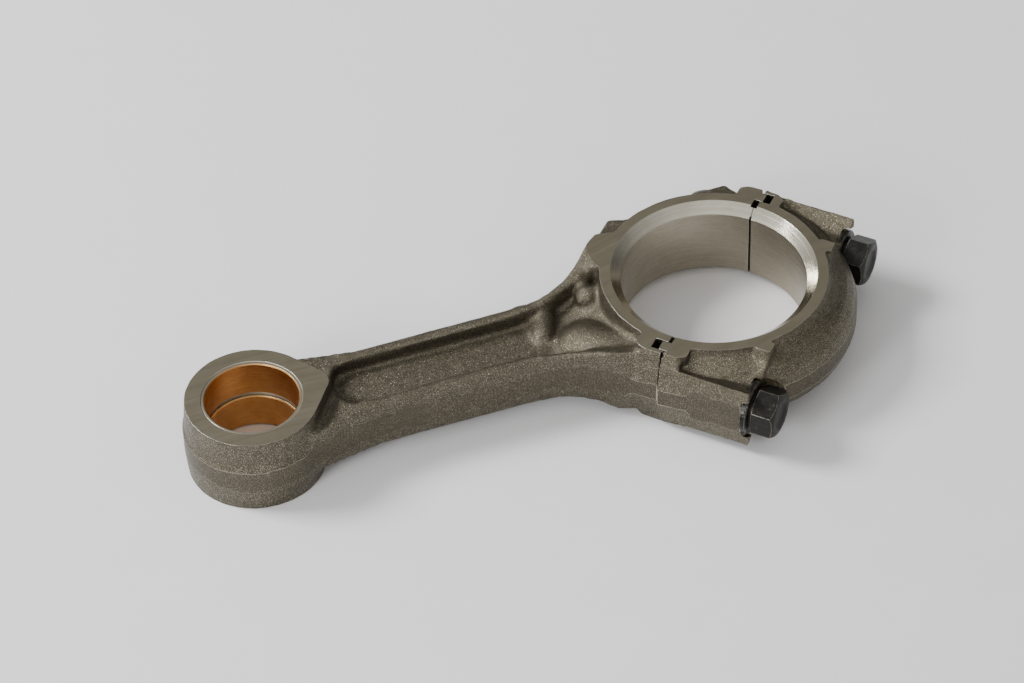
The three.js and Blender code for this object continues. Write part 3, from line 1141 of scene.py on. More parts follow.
@dataclass
class Forging:
    """What the rod and its cap share: the ring round the bore and the machining of it."""

    finishes: Finishes
    sizes: RodSizes = SIZES
    grain: float = 0.9
    passes: int = 7
    waves: float = 0.35
    relief: float = 0.55

    def ring(self) -> Obj:
        """Blank of the ring round the crank-pin bore, drafted from its middle plane."""
        s = self.sizes
        top = s.half_width + s.stock
        slope = (s.band_radius - s.face_radius) / (s.half_width - s.land / 2)
        middle = s.band_radius + slope * s.land / 2
        edge = s.face_radius - slope * s.stock
        return turned([(0, -top), (edge, -top), (middle, 0), (edge, top), (0, top)])

    def pad(self, side: Side, span: Point, high: float) -> Obj:
        """Blank of one pad that carries the joint, from the ring to the outside.

        Args:
            side: Which bolt it stands beside.
            span: Where it starts and ends along the bolts.
            high: Half its height.

        Returns:
            The blank.
        """
        s = self.sizes
        low, far = span
        corner = s.pad_reach - 2.5
        outline = [
            (low, 40),
            (far, 40),
            (far + 2, corner),
            (far - 2, s.pad_reach),
            (low + 2, s.pad_reach),
            (low - 2, corner),
        ]
        return in_joint(plate([(x, side.value * y) for x, y in outline], -high, high))

    def bored(self, piece: Obj) -> Obj:
        """Bore the crank-pin housing and turn its two chamfers."""
        s, f = self.sizes, self.finishes
        over = 2.0
        wide = s.chamfer_radius + over * (s.chamfer_radius - s.bore) / s.chamfer_depth
        reach = s.half_width + over
        bore = dress(turned([(0, -reach), (s.bore, -reach), (s.bore, reach), (0, reach)], 192), f.bore)
        boolean(piece, [bore], "DIFFERENCE")
        for face in Face:
            foot = s.half_width - s.chamfer_depth - 1.0
            narrow = s.bore - (s.chamfer_radius - s.bore) / s.chamfer_depth
            profile = [(0, foot), (narrow, foot), (wide, reach), (0, reach)]
            cone = turned([(r, face.value * z) for r, z in profile], 192)
            boolean(piece, [dress(cone, f.chamfer)], "DIFFERENCE")
        for side in Side:
            # Relief slots at the split, finished near black as painted shade.
            for start, end in ((s.bore - 1.0, s.bore + 1.2), (s.tongue_outer + 0.9, s.tongue_outer + 20.0)):
                ends = sorted((side.value * start, side.value * end))
                relief = joint_block((-self.relief, ends[0]), (self.relief, ends[1]))
                boolean(piece, [dress(relief, f.painted_slot_shade)], "DIFFERENCE")
        return piece

    def faced(self, piece: Obj, low: Point, high: Point, level: float, finish: Mat) -> Obj:
        """Grind both thrust faces flat over one part of the rod.

        Args:
            piece: The piece to grind.
            low: Lowest x and y of the ground part, in millimetres.
            high: Highest x and y.
            level: Height of the finished face above the middle plane.
            finish: The ground finish.

        Returns:
            The same piece.
        """
        for face in Face:
            ends = sorted((face.value * level, face.value * (level + 12)))
            slab = block(Vector((*low, ends[0])), Vector((*high, ends[1])))
            boolean(piece, [dress(slab, finish)], "DIFFERENCE")
        return piece

    def trimmed(self, piece: Obj, die: Sequence[Obj]) -> Obj:
        """Shear the flash off with a die of the forging's own plan.

        Args:
            piece: The forged skin.
            die: Upright plates that together make the plan.

        Returns:
            The piece with a flat band at mid height.
        """
        plan = forge(merged(die), self.grain, self.passes)
        uneven(piece, self.waves, 5.0)
        return boolean(piece, [dress(plan, self.finishes.flash)], "INTERSECT")


@dataclass
class RodForging(Forging):
    """The rod: small end, shank and the fixed half of the big end."""

    shank_near: tuple[Point, ...] = (
        (-212, -27.5),
        (-200, -24.8),
        (-186, -22),
        (-168, -19.6),
        (-140, -19.6),
        (-108, -19.6),
        (-90, -20.2),
        (-78, -23.2),
        (-68, -28.4),
        (-58.5, -35.8),
        (-46.7, -46.0),
        (-39.5, -53.0),
    )
    shank_end: tuple[Point, ...] = ((-20, -45), (-20, 40))
    shank_far: tuple[Point, ...] = (
        (-44, 45),
        (-51, 39),
        (-60, 30.6),
        (-71, 24),
        (-84, 20.4),
        (-104, 19.6),
        (-140, 19.6),
        (-168, 19.6),
        (-186, 22),
        (-200, 24.8),
        (-212, 27.5),
    )
    shank_rise: tuple[Point, ...] = (
        (-216, 12.6),
        (-150, 12.8),
        (-96, 13.4),
        (-80, 14.4),
        (-66, 17),
        (-56, 20),
        (-50, 22.6),
        (-10, 22.6),
    )
    pocket: tuple[Point, ...] = (
        (-189, -2),
        (-186.4, -9.6),
        (-178, -13.4),
        (-140, -13.4),
        (-104, -13.6),
        (-84, -16.2),
        (-70, -20.5),
        (-58, -25),
        (-48, -21),
        (-42, -6),
        (-42, 10),
        (-47, 20),
        (-54, 23.5),
        (-61, 21.5),
        (-71, 18),
        (-84, 14.6),
        (-104, 13.4),
        (-140, 13.4),
        (-178, 13.4),
        (-186.4, 9.6),
        (-189, 2),
    )
    shoulder: tuple[Point, ...] = (
        (-52, 37),
        (0, 20),
        (44, 44),
        (33, 67.5),
        (18, 66),
        (0, 60.5),
        (-22, 61.5),
        (-30.5, 64.5),
        (-47.5, 46.5),
    )
    shoulder_half: float = 11.0
    boss_radii: tuple[float, float] = (14.2, 12.4)
    boss_roots: tuple[float, float] = (17.0, 12.4)
    boss_lengths: tuple[float, float] = (42.5, 28.0)
    boss_offsets: tuple[float, float] = (53.5, 55.8)
    pad_spans: tuple[Point, Point] = ((-12.5, 9.5), (-9.5, 9.5))
    ribs: tuple[tuple[Point, Point, float, float], ...] = (
        ((-84.5, 4.5), (-80.0, 15.0), 5.0, 5.4),
        ((-59.0, 22.0), (-53.5, 25.5), 14.6, 2.6),
        ((-59.0, 14.6), (-57.0, 15.0), 11.6, 5.8),
    )
    skirt: tuple[Point, ...] = ((55, 12), (57, 11.4), (61, 9.6), (66, 7.6), (74, 4.4))
    rail: tuple[tuple[float, float, float], tuple[float, float, float]] = ((-86, -20.2, 14.6), (-45, -45.4, 23.0))
    rail_slope: float = 0.4
    rail_reach: float = 17.0
    soft: tuple[Point, ...] = ((-92, -19), (-44, -37), (-37, -30), (-36, 36), (-50, 34), (-92, 18))
    soft_passes: int = 12
    root_bevel: tuple[Point, ...] = ((-40, -86), (20, -86), (20, -61), (-13, -61), (-26, -67.6), (-40, -76))
    bevel_lean: float = 4.6
    bevel_foot: float = 5.0

    def eye_plan(self, radius: float) -> list[Point]:
        """Plan of the eye at the band, with its rounded tip towards the shank.

        Args:
            radius: The eye's radius there.

        Returns:
            The outline.
        """
        s = self.sizes
        tip = s.tip_radius + s.eye_draft + radius - s.eye_radius
        lean = math.acos((radius - tip) / s.tip_offset)
        centre = (-s.centre_distance, 0.0)
        nose = (s.tip_offset - s.centre_distance, 0.0)
        round_part = arc(radius, lean, 2 * math.pi - lean, 72, centre)
        return round_part + arc(tip, -lean, lean, 16, nose)

    def rib(self, start: Point, end: Point, level: float, radius: float) -> Obj:
        """A round bar with domed ends, lying in the pocket's end.

        Args:
            start: Where it starts, in plan.
            end: Where it ends.
            level: Height of its middle line.
            radius: Its radius.

        Returns:
            The bar, once above and once below the web.
        """
        run = Vector(end) - Vector(start)
        length, turn = run.length, math.atan2(run.y, run.x)
        cap = arc(radius, -math.pi / 2, 0, 8)
        low_end = [(r, z) for r, z in cap]
        high_end = [(r, length - z) for r, z in reversed(cap)]
        bars = []
        for face in Face:
            bar = turned([(max(r, 0), z) for r, z in low_end + high_end], 24)
            lay = Matrix.Rotation(math.pi / 2, 4, "Y")
            shift = Matrix.Translation((start[0] * MM, start[1] * MM, face.value * level * MM))
            bars.append(moved(bar, shift @ Matrix.Rotation(turn, 4, "Z") @ lay))
        return merged(bars)

    def shank_plan(self) -> list[Point]:
        """Plan of the shank and its root."""
        near, far = smooth_line(self.shank_near), smooth_line(self.shank_far)
        return [*near, *self.shank_end, *far]

    def boss(self, side: Side) -> Obj:
        """Blank of the boss round one threaded hole, with a domed end."""
        index = 0 if side is Side.SHANK else 1
        length, radius = self.boss_lengths[index], self.boss_radii[index]
        dome = [(max(r, 0), z - length) for r, z in arc(radius, 0, -math.pi / 2, 16)]
        piece = turned([(0, 4), (self.boss_roots[index], 4), *dome], 64)
        shift = side.value * (self.boss_offsets[index] - self.sizes.bolt_offset)
        lay = Matrix.Rotation(math.pi / 2, 4, "Y")
        place = Matrix.Translation((0, side.value * self.sizes.bolt_offset * MM + shift * MM, 0))
        return in_joint(moved(piece, place @ lay))

    def skin(self) -> Obj:
        """The whole forging before machining."""
        s = self.sizes
        land = 0.2
        grow = s.land / 2 / (s.half_width - s.land / 2)
        shank = forged_plate(outset(self.shank_plan(), 0.4), s.half_width + s.stock, 1.5, land)
        side_view = list(self.shank_rise) + [(x, -z) for x, z in reversed(self.shank_rise)]
        gauge = plate(side_view, -80, 80)
        moved(gauge, Matrix.Rotation(math.pi / 2, 4, "X"))
        boolean(shank, [gauge], "INTERSECT")
        swell = s.eye_draft * grow + 0.15
        top = s.eye_half + s.stock
        upper = forged_plate(outset(self.eye_plan(s.eye_radius), swell), top, s.eye_draft + swell, land)
        lower = plate(outset(self.eye_plan(s.eye_lower_radius), 0.3), -3.0, s.eye_step - 0.2)
        draft(lower, Face.LOWER, s.eye_draft, top - 3.0)
        boolean(shank, [upper, finished(lower, "lower half")], "UNION")
        for face in Face:
            hollow = plate(smooth_line(self.pocket + self.pocket[:1], 4)[:-1], s.web_half, s.half_width + 6)
            draft_walls(hollow, Face.LOWER, 2.6)
            boolean(shank, [moved(hollow, Matrix.Diagonal((1, 1, face.value, 1)))], "DIFFERENCE")
            boolean(shank, [self.rail_bevel(face)], "DIFFERENCE")
        shoulder = forged_plate(outset(self.shoulder, 0.3), self.shoulder_half, 2.1, s.land / 2)
        inside = plate(self.shank_plan(), -30, 30)
        long_boss = boolean(self.boss(Side.SHANK), [inside], "INTERSECT")
        lower = [(r, -z) for r, z in self.skirt]
        skirt = turned([(0, -17), *lower, *reversed(self.skirt), (0, 17)])
        boolean(skirt, [plate(self.shank_plan(), -30, 30)], "INTERSECT")
        blanks = [shank, self.ring(), shoulder, long_boss, self.boss(Side.TIP), skirt]
        blanks += [self.pad(side, span, s.half_width + s.stock) for side, span in zip(Side, self.pad_spans)]
        blanks += [self.rib(*rib) for rib in self.ribs]
        piece = fused(merged(blanks), self.grain)
        for face in Face:
            corner = plate(self.root_bevel, 24, 32)
            draft(corner, Face.LOWER, self.bevel_lean, 24 - self.bevel_foot)
            moved(corner, Matrix.Diagonal((1, 1, face.value, 1)))
            boolean(piece, [in_joint(finished(corner, "corner"))], "DIFFERENCE")
        return self.softened(forge(piece, self.grain, self.passes))

    def rail_bevel(self, face: Face) -> Obj:
        """Cutter that slopes the near rail's top down into the pocket, beside the ring.

        Args:
            face: Which side of the web.

        Returns:
            The cutter, its sloping floor through the rail's crest.
        """
        start, end = (Vector(point) * MM for point in self.rail)
        along = (end - start).normalized()
        inward = Vector((-along.y, along.x, 0)).normalized()
        downhill = (inward + Vector((0, 0, -self.rail_slope))).normalized()
        upright = along.cross(downhill).normalized()
        across = upright.cross(along)
        length = (end - start).length / MM
        cutter = block(Vector((-6, 0, 0)), Vector((length, self.rail_reach, 20)))
        turn = Matrix((along, across, upright)).transposed().to_4x4()
        moved(cutter, Matrix.Translation(start) @ turn)
        moved(cutter, Matrix.Diagonal((1, 1, face.value, 1)))
        return finished(cutter, "rail bevel")

    def softened(self, piece: Obj) -> Obj:
        """Let the floor between the boss, the ring and the rails flow together.

        Args:
            piece: The forged skin.

        Returns:
            The same piece.
        """
        outline = [Vector(point) * MM for point in self.soft]
        edges = list(zip(outline, outline[1:] + outline[:1]))
        with editing(piece) as mesh:
            bpy.ops.mesh.select_mode(type="VERT")
            bpy.ops.mesh.select_all(action="DESELECT")
            for corner in mesh.verts:
                x, y, z = corner.co
                inside = all((b.x - a.x) * (y - a.y) - (b.y - a.y) * (x - a.x) > 0 for a, b in edges)
                corner.select_set(inside and abs(z) < 20.5 * MM)
            mesh.select_flush_mode()
            bmesh.update_edit_mesh(piece.data)
            bpy.ops.mesh.vertices_smooth(factor=0.5, repeat=self.soft_passes)
        return piece

    def die(self) -> list[Obj]:
        """Plates of the trimming die, the forging's plan at the band."""
        s = self.sizes
        tall = 26.0
        ring = turned([(0, -tall), (s.band_radius, -tall), (s.band_radius, tall), (0, tall)])
        plans = [self.shank_plan(), self.eye_plan(s.eye_lower_radius), list(self.shoulder)]
        plates = [plate(plan, -tall, tall) for plan in plans]
        radius, length = self.boss_radii[1], self.boss_lengths[1]
        nose = arc(radius, math.pi / 2, 3 * math.pi / 2, 24)
        plan = [(4, -radius), (4, radius)] + [(x - length, y) for x, y in nose]
        boss = in_joint(plate([(x, y + s.bolt_offset) for x, y in plan], -tall, tall))
        pads = [self.pad(side, span, tall) for side, span in zip(Side, self.pad_spans)]
        return [ring, *plates, boss, *pads]

    def build(self) -> Obj:
        """Forge, trim and machine the rod.

        Returns:
            The rod, drawn about the crank-pin bore.
        """
        s, f = self.sizes, self.finishes
        piece = self.trimmed(dress(self.skin(), f.rod_skin), self.die())
        self.faced(piece, (-80, -90), (100, 90), s.half_width, f.thrust)
        self.faced(piece, (-275, -50), (-170, 50), s.eye_half, f.eye_face)
        gap, far = s.joint_gap / 2, 200.0
        split = joint_block((-gap, -far), (far, far))
        keep = joint_block((-1.0, s.tongue_inner), (s.tongue_reach, s.tongue_outer), 30.0)
        boolean(split, [keep], "DIFFERENCE")
        cuts = [
            split,
            joint_block((-s.groove_depth, -s.tongue_outer - s.groove_side), (5, s.groove_side - s.tongue_inner)),
            joint_block((-s.notch_depth, s.notch_inner), (5, s.tongue_inner)),
        ]
        boolean(piece, [dress(cut, f.joint) for cut in cuts], "DIFFERENCE")
        self.bored(piece)
        reach = s.eye_half + 3
        seat = turned([(0, -reach), (s.eye_bore, -reach), (s.eye_bore, reach), (0, reach)], 144)
        moved(seat, Matrix.Translation((-s.centre_distance * MM, 0, 0)))
        boolean(piece, [dress(seat, f.eye_bore)], "DIFFERENCE")
        for side in Side:
            depth = s.bolt_reach + 3
            radius = s.bolt_radius + 0.1
            hole = turned([(0, -depth - 4), (radius, -depth), (radius, 30), (0, 30)], 48)
            boolean(piece, [dress(on_bolt(hole, side), f.hole[side])], "DIFFERENCE")
        return piece


def draft_walls(piece: Obj, face: Face, thickness: float) -> None:
    """Taper a plate towards one end, keeping its height.

    Args:
        piece: The plate.
        face: The end that becomes smaller.
        thickness: How far its wall leans in, in millimetres.
    """
    with editing(piece) as mesh:
        level = max(v.co.z * face.value for v in mesh.verts)
        ends = [f for f in mesh.faces if all(abs(v.co.z * face.value - level) < 1e-6 for v in f.verts)]
        pick_faces(piece, mesh, ends)
        bpy.ops.mesh.extrude_region_move(TRANSFORM_OT_translate={"value": (0, 0, 0)})
        bpy.ops.mesh.inset(thickness=thickness * MM, depth=0, use_even_offset=True)
    finished(piece, piece.name)


@dataclass
class CapForging(Forging):
    """The bearing cap with its thick back and two bolt lugs."""

    grain: float = 0.7
    passes: int = 5
    lug_end: float = 45.5
    rib: tuple[Point, ...] = (
        (53.4, 23.6),
        (53.8, 22),
        (55.2, 18.6),
        (58.4, 16.2),
        (62.8, 14.2),
        (66.2, 10),
        (68, 4.6),
        (69.5, 0),
    )
    lug_section: tuple[Point, ...] = ((40, 15), (50, 13.2), (56, 12.8), (61, 15), (64.9, 17.8), (66.3, 5.9), (67.3, 0))
    lug_shrink: float = 0.045
    root_section: tuple[Point, ...] = ((40, 22.8), (60.4, 22.8), (62.6, 21.8), (66.3, 5.9), (67.3, 0))
    root_end: float = 9.5
    root_shrink: float = 0.62
    buttress_section: tuple[Point, ...] = ((34, 22.8), (40, 22.8), (42.5, 17), (47, 14), (54, 12.5), (62, 11))
    buttress: Point = (38.0, 45.5)

    def bar(self, section: Sequence[Point], side: Side, low: float, high: float, shrink: float = 0) -> Obj:
        """A bar along one bolt, from a half section across it.

        Args:
            section: Upper half of the section: distance from the bore's centre, height.
            side: Which bolt.
            low: Where it starts along the bolt, from the joint.
            high: Where it ends.
            shrink: What part of its height it loses from the joint to the bolt's seat.

        Returns:
            The bar, in the rod's axes.
        """
        lower = [(y, -z) for y, z in reversed(section) if z]
        outline = [(side.value * y, z) for y, z in [*section, *lower]]
        lay = Matrix(((0, 0, 1, 0), (1, 0, 0, 0), (0, 1, 0, 0), (0, 0, 0, 1)))
        piece = plate(outline, low, high)
        for corner in piece.data.vertices:
            corner.co.y *= 1 - shrink * corner.co.z / (self.sizes.bolt_seat * MM)
        return in_joint(moved(piece, lay))

    def skin(self) -> Obj:
        """The whole forging before machining."""
        s = self.sizes
        top = s.half_width + s.stock
        rib = list(self.rib)
        lower = [(r, -z) for r, z in reversed(rib) if z]
        crown = turned([(0, top), *rib, *lower, (0, -top)])
        blanks = [self.ring(), crown]
        for side in Side:
            blanks.append(self.bar(self.lug_section, side, -9, self.lug_end, self.lug_shrink))
            blanks.append(self.bar(self.root_section, side, -9, self.root_end, self.root_shrink))
            blanks.append(self.bar(self.buttress_section, side, *self.buttress))
            blanks.append(self.pad(side, (-9.0, 9.5), top))
        near = joint_block((-4, -100), (100, 100), 40)
        piece = forge(merged(blanks), self.grain, self.passes)
        return boolean(piece, [near], "INTERSECT")

    def die(self) -> list[Obj]:
        """Plates of the trimming die, the forging's plan at the band."""
        s = self.sizes
        tall = 26.0
        crown = turned([(0, -tall), (s.crown_radius, -tall), (s.crown_radius, tall), (0, tall)])
        side_face = 66.0
        lugs = joint_block((-9, -side_face), (self.lug_end, side_face), tall)
        return [crown, lugs, *(self.pad(side, (-9.0, 9.5), tall) for side in Side)]

    def build(self) -> Obj:
        """Forge, trim and machine the cap.

        Returns:
            The cap, drawn about the crank-pin bore.
        """
        s, f = self.sizes, self.finishes
        piece = self.trimmed(dress(self.skin(), f.cap_skin), self.die())
        self.faced(piece, (-90, -90), (100, 90), s.half_width, f.thrust)
        gap, far = s.joint_gap / 2, 200.0
        split = joint_block((-far, -far), (gap, far))
        keep = joint_block((-s.tongue_reach, -s.tongue_outer), (1.0, -s.tongue_inner), 30.0)
        boolean(split, [keep], "DIFFERENCE")
        side_play = s.groove_side
        cuts = [
            split,
            joint_block((-5, s.tongue_inner - side_play), (s.groove_depth, s.tongue_outer + side_play)),
            joint_block((-5, s.notch_inner), (s.notch_depth, s.tongue_inner)),
            joint_block((0, -s.tongue_inner), (s.notch_depth, -s.notch_inner)),
        ]
        for side in Side:
            ends = sorted((side.value * s.tongue_outer, side.value * (s.tongue_outer + 5)))
            for face in Face:
                levels = sorted((face.value * s.corner_notch, face.value * 27.0))
                low, high = Vector((-1, ends[0], levels[0])), Vector((s.notch_depth, ends[1], levels[1]))
                cuts.append(in_joint(block(low, high)))
        boolean(piece, [dress(cut, f.joint) for cut in cuts], "DIFFERENCE")
        self.bored(piece)
        for side in Side:
            hole = turned([(0, -5), (s.bolt_hole, -5), (s.bolt_hole, 80), (0, 80)], 48)
            boolean(piece, [dress(on_bolt(hole, side), f.hole[side])], "DIFFERENCE")
            seat = s.bolt_seat
            rim = s.spotface
            face = turned([(0, seat), (rim - 1, seat), (rim, seat + 1), (rim, 95), (0, 95)], 96)
            boolean(piece, [dress(on_bolt(face, side), f.seat[side])], "DIFFERENCE")
        return piece


# --------------------------------------------------------------------------- turned pieces
@dataclass
class Bush:
    """One of the two bronze bushes in the eye."""

    finishes: Finishes
    face: Face
    outer: float = 23.5
    inner: float = 21.8
    chamfer: float = 0.5
    low: float = 1.2
    high: float = 19.7

    def build(self) -> Obj:
        """Turn the bush.

        Returns:
            The bush, drawn about the crank-pin bore.
        """
        c, edge = self.chamfer, 0.25
        profile = [
            (self.inner, self.low + c),
            (self.inner + c, self.low),
            (self.outer - c, self.low),
            (self.outer, self.low + c),
            (self.outer, self.high - edge),
            (self.outer - edge, self.high),
            (self.inner + c, self.high),
            (self.inner, self.high - c),
        ]
        piece = turned_ring([(r, self.face.value * z) for r, z in profile], 160)
        dress(piece, self.finishes.bronze)
        piece.data.materials.append(self.finishes.bush_back)
        for face in piece.data.polygons:
            lining = math.hypot(face.center.x, face.center.y) < (self.inner + self.chamfer) * MM
            face.material_index = 0 if lining else 1
        return moved(piece, Matrix.Translation((-SIZES.centre_distance * MM, 0, 0)))


def turned_ring(profile: Sequence[Point], steps: int) -> Obj:
    """A turned ring, from a closed section that stays clear of the axis.

    Args:
        profile: [radius, height] corners, in millimetres.
        steps: Facets round it.

    Returns:
        The closed ring.
    """
    return turned(profile, steps)


@dataclass
class Washer:
    """Hardened washer under a bolt's head."""

    finishes: Finishes
    side: Side
    radius: float = 12.8
    hole: float = 7.3
    thickness: float = 3.2
    edge: float = 0.5
    gap: float = 0.1

    def build(self) -> Obj:
        """Turn the washer on its bolt's axis."""
        low = SIZES.bolt_seat + self.gap
        high = low + self.thickness
        profile = [
            (self.hole, low),
            (self.radius - self.edge, low),
            (self.radius, low + self.edge),
            (self.radius, high - self.edge),
            (self.radius - self.edge, high),
            (self.hole, high),
        ]
        return dress(on_bolt(turned_ring(profile, 96), self.side), self.finishes.washer)


@dataclass
class CapBolt:
    """Hexagon bolt: turned washer face, chamfered and dished head, rolled thread."""

    finishes: Finishes
    side: Side
    across_flats: float = 21.0
    head: float = 11.4
    neck_radius: float = 9.6
    neck: float = 1.4
    washer: float = 3.2
    gap: float = 0.1
    pitch: float = 1.5
    thread_end: float = -2.0
    dish_radius: float = 7.4
    dish_depth: float = 0.8

    def head_blank(self, low: float) -> Obj:
        """The chamfered, dished hexagon.

        Args:
            low: Where the hexagon starts along the bolt, in millimetres.

        Returns:
            The head, about the Z axis.
        """
        high = low + self.head
        corner = self.across_flats / math.sqrt(3)
        hexagon = plate(arc(corner, 0, 2 * math.pi, 6)[:-1], low, high)
        rim = self.across_flats / 2 - 0.75
        rise = (corner + 0.2 - rim) * math.tan(math.radians(30))
        cone = turned(
            [(0, low - 1), (corner + 0.2, low - 1), (corner + 0.2, high - rise), (rim, high), (0, high)], 144
        )
        boolean(hexagon, [cone], "INTERSECT")
        under = turned([(0, low - 2), (rim - 0.2, low), (corner + 1, low + 0.9), (corner + 1, high + 3), (0, high + 3)], 144)
        boolean(hexagon, [under], "INTERSECT")
        floor, r = high - self.dish_depth, self.dish_radius
        dish = turned([(0, floor), (r - 1.6, floor), (r, high), (r, high + 1), (0, high + 1)], 96)
        return boolean(hexagon, [dish], "DIFFERENCE")

    def thread(self, low: float, high: float) -> Obj:
        """A rolled thread as one closed ridge, wound by the Screw modifier.

        Args:
            low: Where it starts along the bolt, in millimetres.
            high: Where it ends.

        Returns:
            The ridge, about the Z axis.
        """
        major, root, foot = SIZES.bolt_radius, SIZES.bolt_radius - 0.92, SIZES.bolt_radius - 1.4
        half, flat = self.pitch * 0.45, self.pitch * 0.07
        section = [(foot, -half), (root, -half), (major, -flat), (major, flat), (root, half), (foot, half)]
        deselect()
        bpy.ops.mesh.primitive_circle_add(vertices=len(section), radius=1, fill_type="NOTHING")
        piece = bpy.context.object
        for corner, (radius, height) in zip(piece.data.vertices, section):
            corner.co = (radius * MM, 0, (low + half + height) * MM)
        wound = piece.modifiers.new("wound", "SCREW")
        wound.steps = wound.render_steps = 36
        wound.screw_offset = self.pitch * MM
        wound.iterations = int((high - low - 2 * half) / self.pitch)
        take(piece)
        bpy.ops.object.modifier_apply(modifier=wound.name)
        with editing(piece):
            bpy.ops.mesh.select_all(action="SELECT")
            bpy.ops.mesh.fill_holes(sides=0)
        return finished(piece, "thread")

    def build(self) -> Obj:
        """Make the whole bolt on its axis."""
        s = SIZES
        under = s.bolt_seat + self.gap + self.washer + self.gap
        low = s.bolt_seat + self.gap + self.washer + self.neck
        shank_radius, core = s.bolt_radius - 0.05, s.bolt_radius - 0.92
        shank = turned(
            [
                (0, -s.bolt_reach),
                (core - 1, -s.bolt_reach),
                (core, -s.bolt_reach + 1),
                (core, self.thread_end),
                (shank_radius, self.thread_end + 1),
                (shank_radius, under),
                (self.neck_radius, under),
                (self.neck_radius, low + 0.8),
                (0, low + 0.8),
            ],
            96,
        )
        body = boolean(self.head_blank(low), [shank], "UNION")
        ridge = self.thread(-s.bolt_reach + 0.6, self.thread_end)
        piece = merged([body, ridge])
        return dress(on_bolt(piece, self.side), self.finishes.oxide)


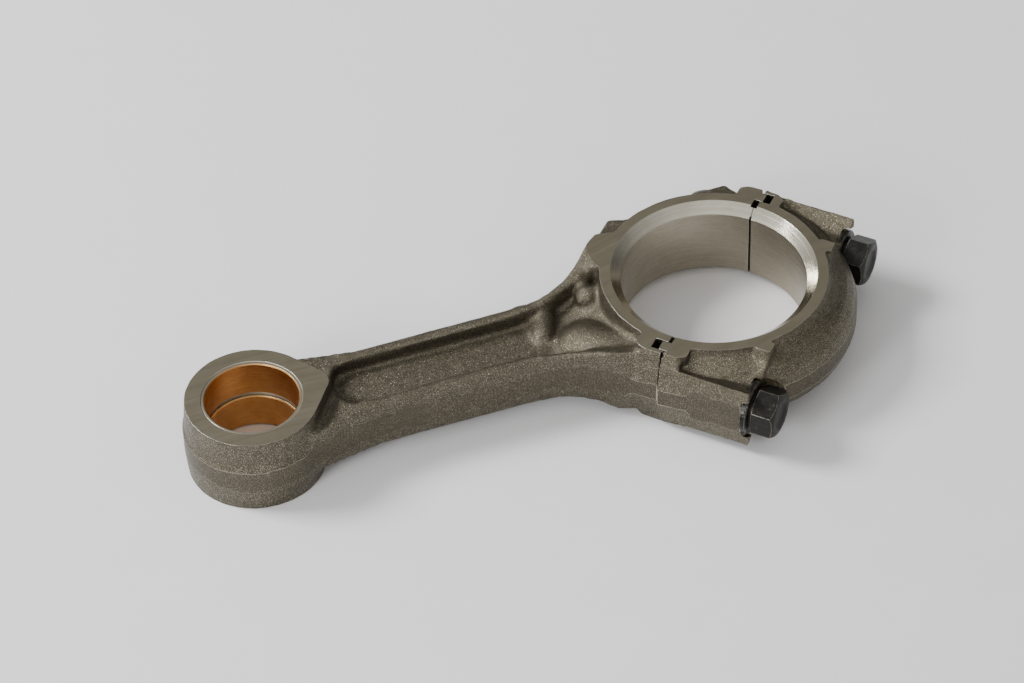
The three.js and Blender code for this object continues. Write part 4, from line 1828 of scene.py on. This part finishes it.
# --------------------------------------------------------------------------- studio
@dataclass
class Studio:
    """Paper ground, soft light and the camera."""

    origin: Vector
    focal: float = 3950.0
    width: int = 1024
    sensor: float = 36.0
    azimuth: float = -18.85
    elevation: float = 44.2
    roll: float = -1.3
    spot: tuple[float, float, float] = (-529.2, -1252.2, 1319.1)
    tilt: float = 0.0097
    pivot: float = -54.0
    ground: float = 6.0
    bright_side: tuple[float, float, float] = (-0.68, -0.52, 0.52)

    def lean(self) -> Matrix:
        """The table's lean under the rod, whose big end is wider than its small end."""
        pivot = Matrix.Translation((self.pivot * MM, 0, 0))
        foot = Matrix.Translation((self.origin.x, self.origin.y, 0))
        return foot @ pivot @ Matrix.Rotation(self.tilt, 4, "Y") @ pivot.inverted()

    def floor(self) -> Obj:
        """Lay the sheet of pale paper."""
        deselect()
        bpy.ops.mesh.primitive_plane_add(size=self.ground)
        sheet = bpy.context.object
        sheet.name = "paper ground"
        sheet.matrix_world = self.lean()
        material, n, shader = blank_finish("pale paper")
        place = n.vector("MULTIPLY", n.add("TexCoord").outputs["Object"], (1, 1, 1))
        tone = n.mix(n.noise(place, 40, 4.0, 0.6), (0.83, 0.83, 0.85, 1), (0.87, 0.87, 0.89, 1))
        n.feed(shader.inputs["Base Color"], tone)
        shader.inputs["Roughness"].default_value = 0.85
        shader.inputs["Specular IOR Level"].default_value = 0.2
        dress(sheet, material)
        return sheet

    def lamp(self, name: str, place: Sequence[float], size: float, power: float, target: Vector) -> Obj:
        """Hang one square soft light.

        Args:
            name: Its name.
            place: Where it hangs, in metres from the rod's middle.
            size: Its side.
            power: Its power in watts.
            target: What it shines at.

        Returns:
            The lamp.
        """
        light = bpy.data.lights.new(name, "AREA")
        light.shape = "SQUARE"
        light.size = size
        light.energy = power
        lamp = bpy.data.objects.new(name, light)
        bpy.context.collection.objects.link(lamp)
        lamp.location = target + Vector(place)
        lamp.rotation_mode = "QUATERNION"
        lamp.rotation_quaternion = (target - lamp.location).to_track_quat("-Z", "Y")
        return lamp

    def camera(self) -> Obj:
        """Set the camera at the measured viewing angle."""
        a, e, roll = (math.radians(v) for v in (self.azimuth, self.elevation, self.roll))
        back = Vector((math.sin(a) * math.cos(e), -math.cos(a) * math.cos(e), math.sin(e)))
        right = Vector((0, 0, 1)).cross(back).normalized()
        up = back.cross(right)
        across = math.cos(roll) * right + math.sin(roll) * up
        rise = -math.sin(roll) * right + math.cos(roll) * up
        pose = Matrix((across, rise, back)).transposed().to_4x4()
        pose.translation = Vector(self.spot) * MM
        data = bpy.data.cameras.new("camera")
        data.sensor_width = self.sensor
        data.lens = self.focal / self.width * self.sensor
        data.clip_start, data.clip_end = 0.05, 20
        camera = bpy.data.objects.new("camera", data)
        bpy.context.collection.objects.link(camera)
        camera.matrix_world = self.lean() @ pose
        bpy.context.scene.camera = camera
        return camera

    def world(self) -> None:
        """Light the room evenly."""
        world = bpy.data.worlds.new("room")
        world.use_nodes = True
        world.node_tree.nodes.clear()
        n = Nodes(world.node_tree)
        room, sink = n.add("Background"), n.add("OutputWorld")
        room.inputs["Color"].default_value = (1.0, 0.985, 0.955, 1)
        facing = n.add("VectorMath", operation="DOT_PRODUCT")
        n.feed(facing.inputs[0], n.add("TexCoord").outputs["Generated"])
        facing.inputs[1].default_value = self.bright_side
        n.feed(room.inputs["Strength"], n.span(facing.outputs["Value"], -0.7, 0.9, 0.14, 0.95))
        n.feed(sink.inputs["Surface"], room.outputs[0])
        bpy.context.scene.world = world

    def build(self) -> None:
        """Set up the whole studio."""
        self.world()
        target = Vector((0, 0, 0.02))
        pieces = [
            self.floor(),
            self.lamp("window", (-1.6, 0.9, 1.7), 0.8, 68, target),
            self.lamp("left fill", (-1.9, -1.1, 1.1), 0.6, 26, target),
        ]
        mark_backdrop(*pieces)
        self.camera()


# --------------------------------------------------------------------------- assembly
def corners() -> list[list[float]]:
    """The object's box as plain lists."""
    return [list(corner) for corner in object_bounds()]


def main() -> None:
    """Build every sub-assembly in order, put it on its body and report it."""
    logging.basicConfig(level=logging.INFO, format="%(name)s: %(message)s")
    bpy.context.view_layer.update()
    low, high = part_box("small_end_bush_upper")
    middle = (low + high) / 2
    origin = Vector((middle.x + SIZES.centre_distance * MM, middle.y, SIZES.half_width * MM))
    finishes = Finishes(Effects(), origin)
    plan: list[tuple[object, str, str, str]] = [
        (RodForging(finishes), "rod_body", "rod", "forged_rod_steel"),
        (CapForging(finishes), "bearing_cap", "cap", "forged_cap_steel"),
        (Bush(finishes, Face.UPPER), "small_end_bush_upper", "rod", "bush_bronze"),
        (Bush(finishes, Face.LOWER), "small_end_bush_lower", "rod", "bush_bronze"),
    ]
    for side in Side:
        word = side.word
        plan.append((CapBolt(finishes, side), f"cap_bolt_{word}", f"bolt_{word}", "black_bolt_steel"))
        plan.append((Washer(finishes, side), f"bolt_washer_{word}", f"washer_{word}", "black_washer_steel"))
    for maker, node, body, slot in plan:
        piece = hand_over(maker.build(), f"{node}_look", origin)
        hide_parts(node)
        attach(piece, body)
        LOG.info("%s: %d faces on body %s", piece.name, len(piece.data.polygons), body)
    Studio(origin).build()


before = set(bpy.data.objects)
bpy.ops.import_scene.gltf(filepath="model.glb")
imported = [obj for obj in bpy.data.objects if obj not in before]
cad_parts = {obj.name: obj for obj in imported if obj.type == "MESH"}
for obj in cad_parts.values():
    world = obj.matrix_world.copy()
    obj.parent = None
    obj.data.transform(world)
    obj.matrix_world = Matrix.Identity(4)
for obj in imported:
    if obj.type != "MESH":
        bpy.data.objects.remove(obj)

if __name__ == "__main__":
    main()
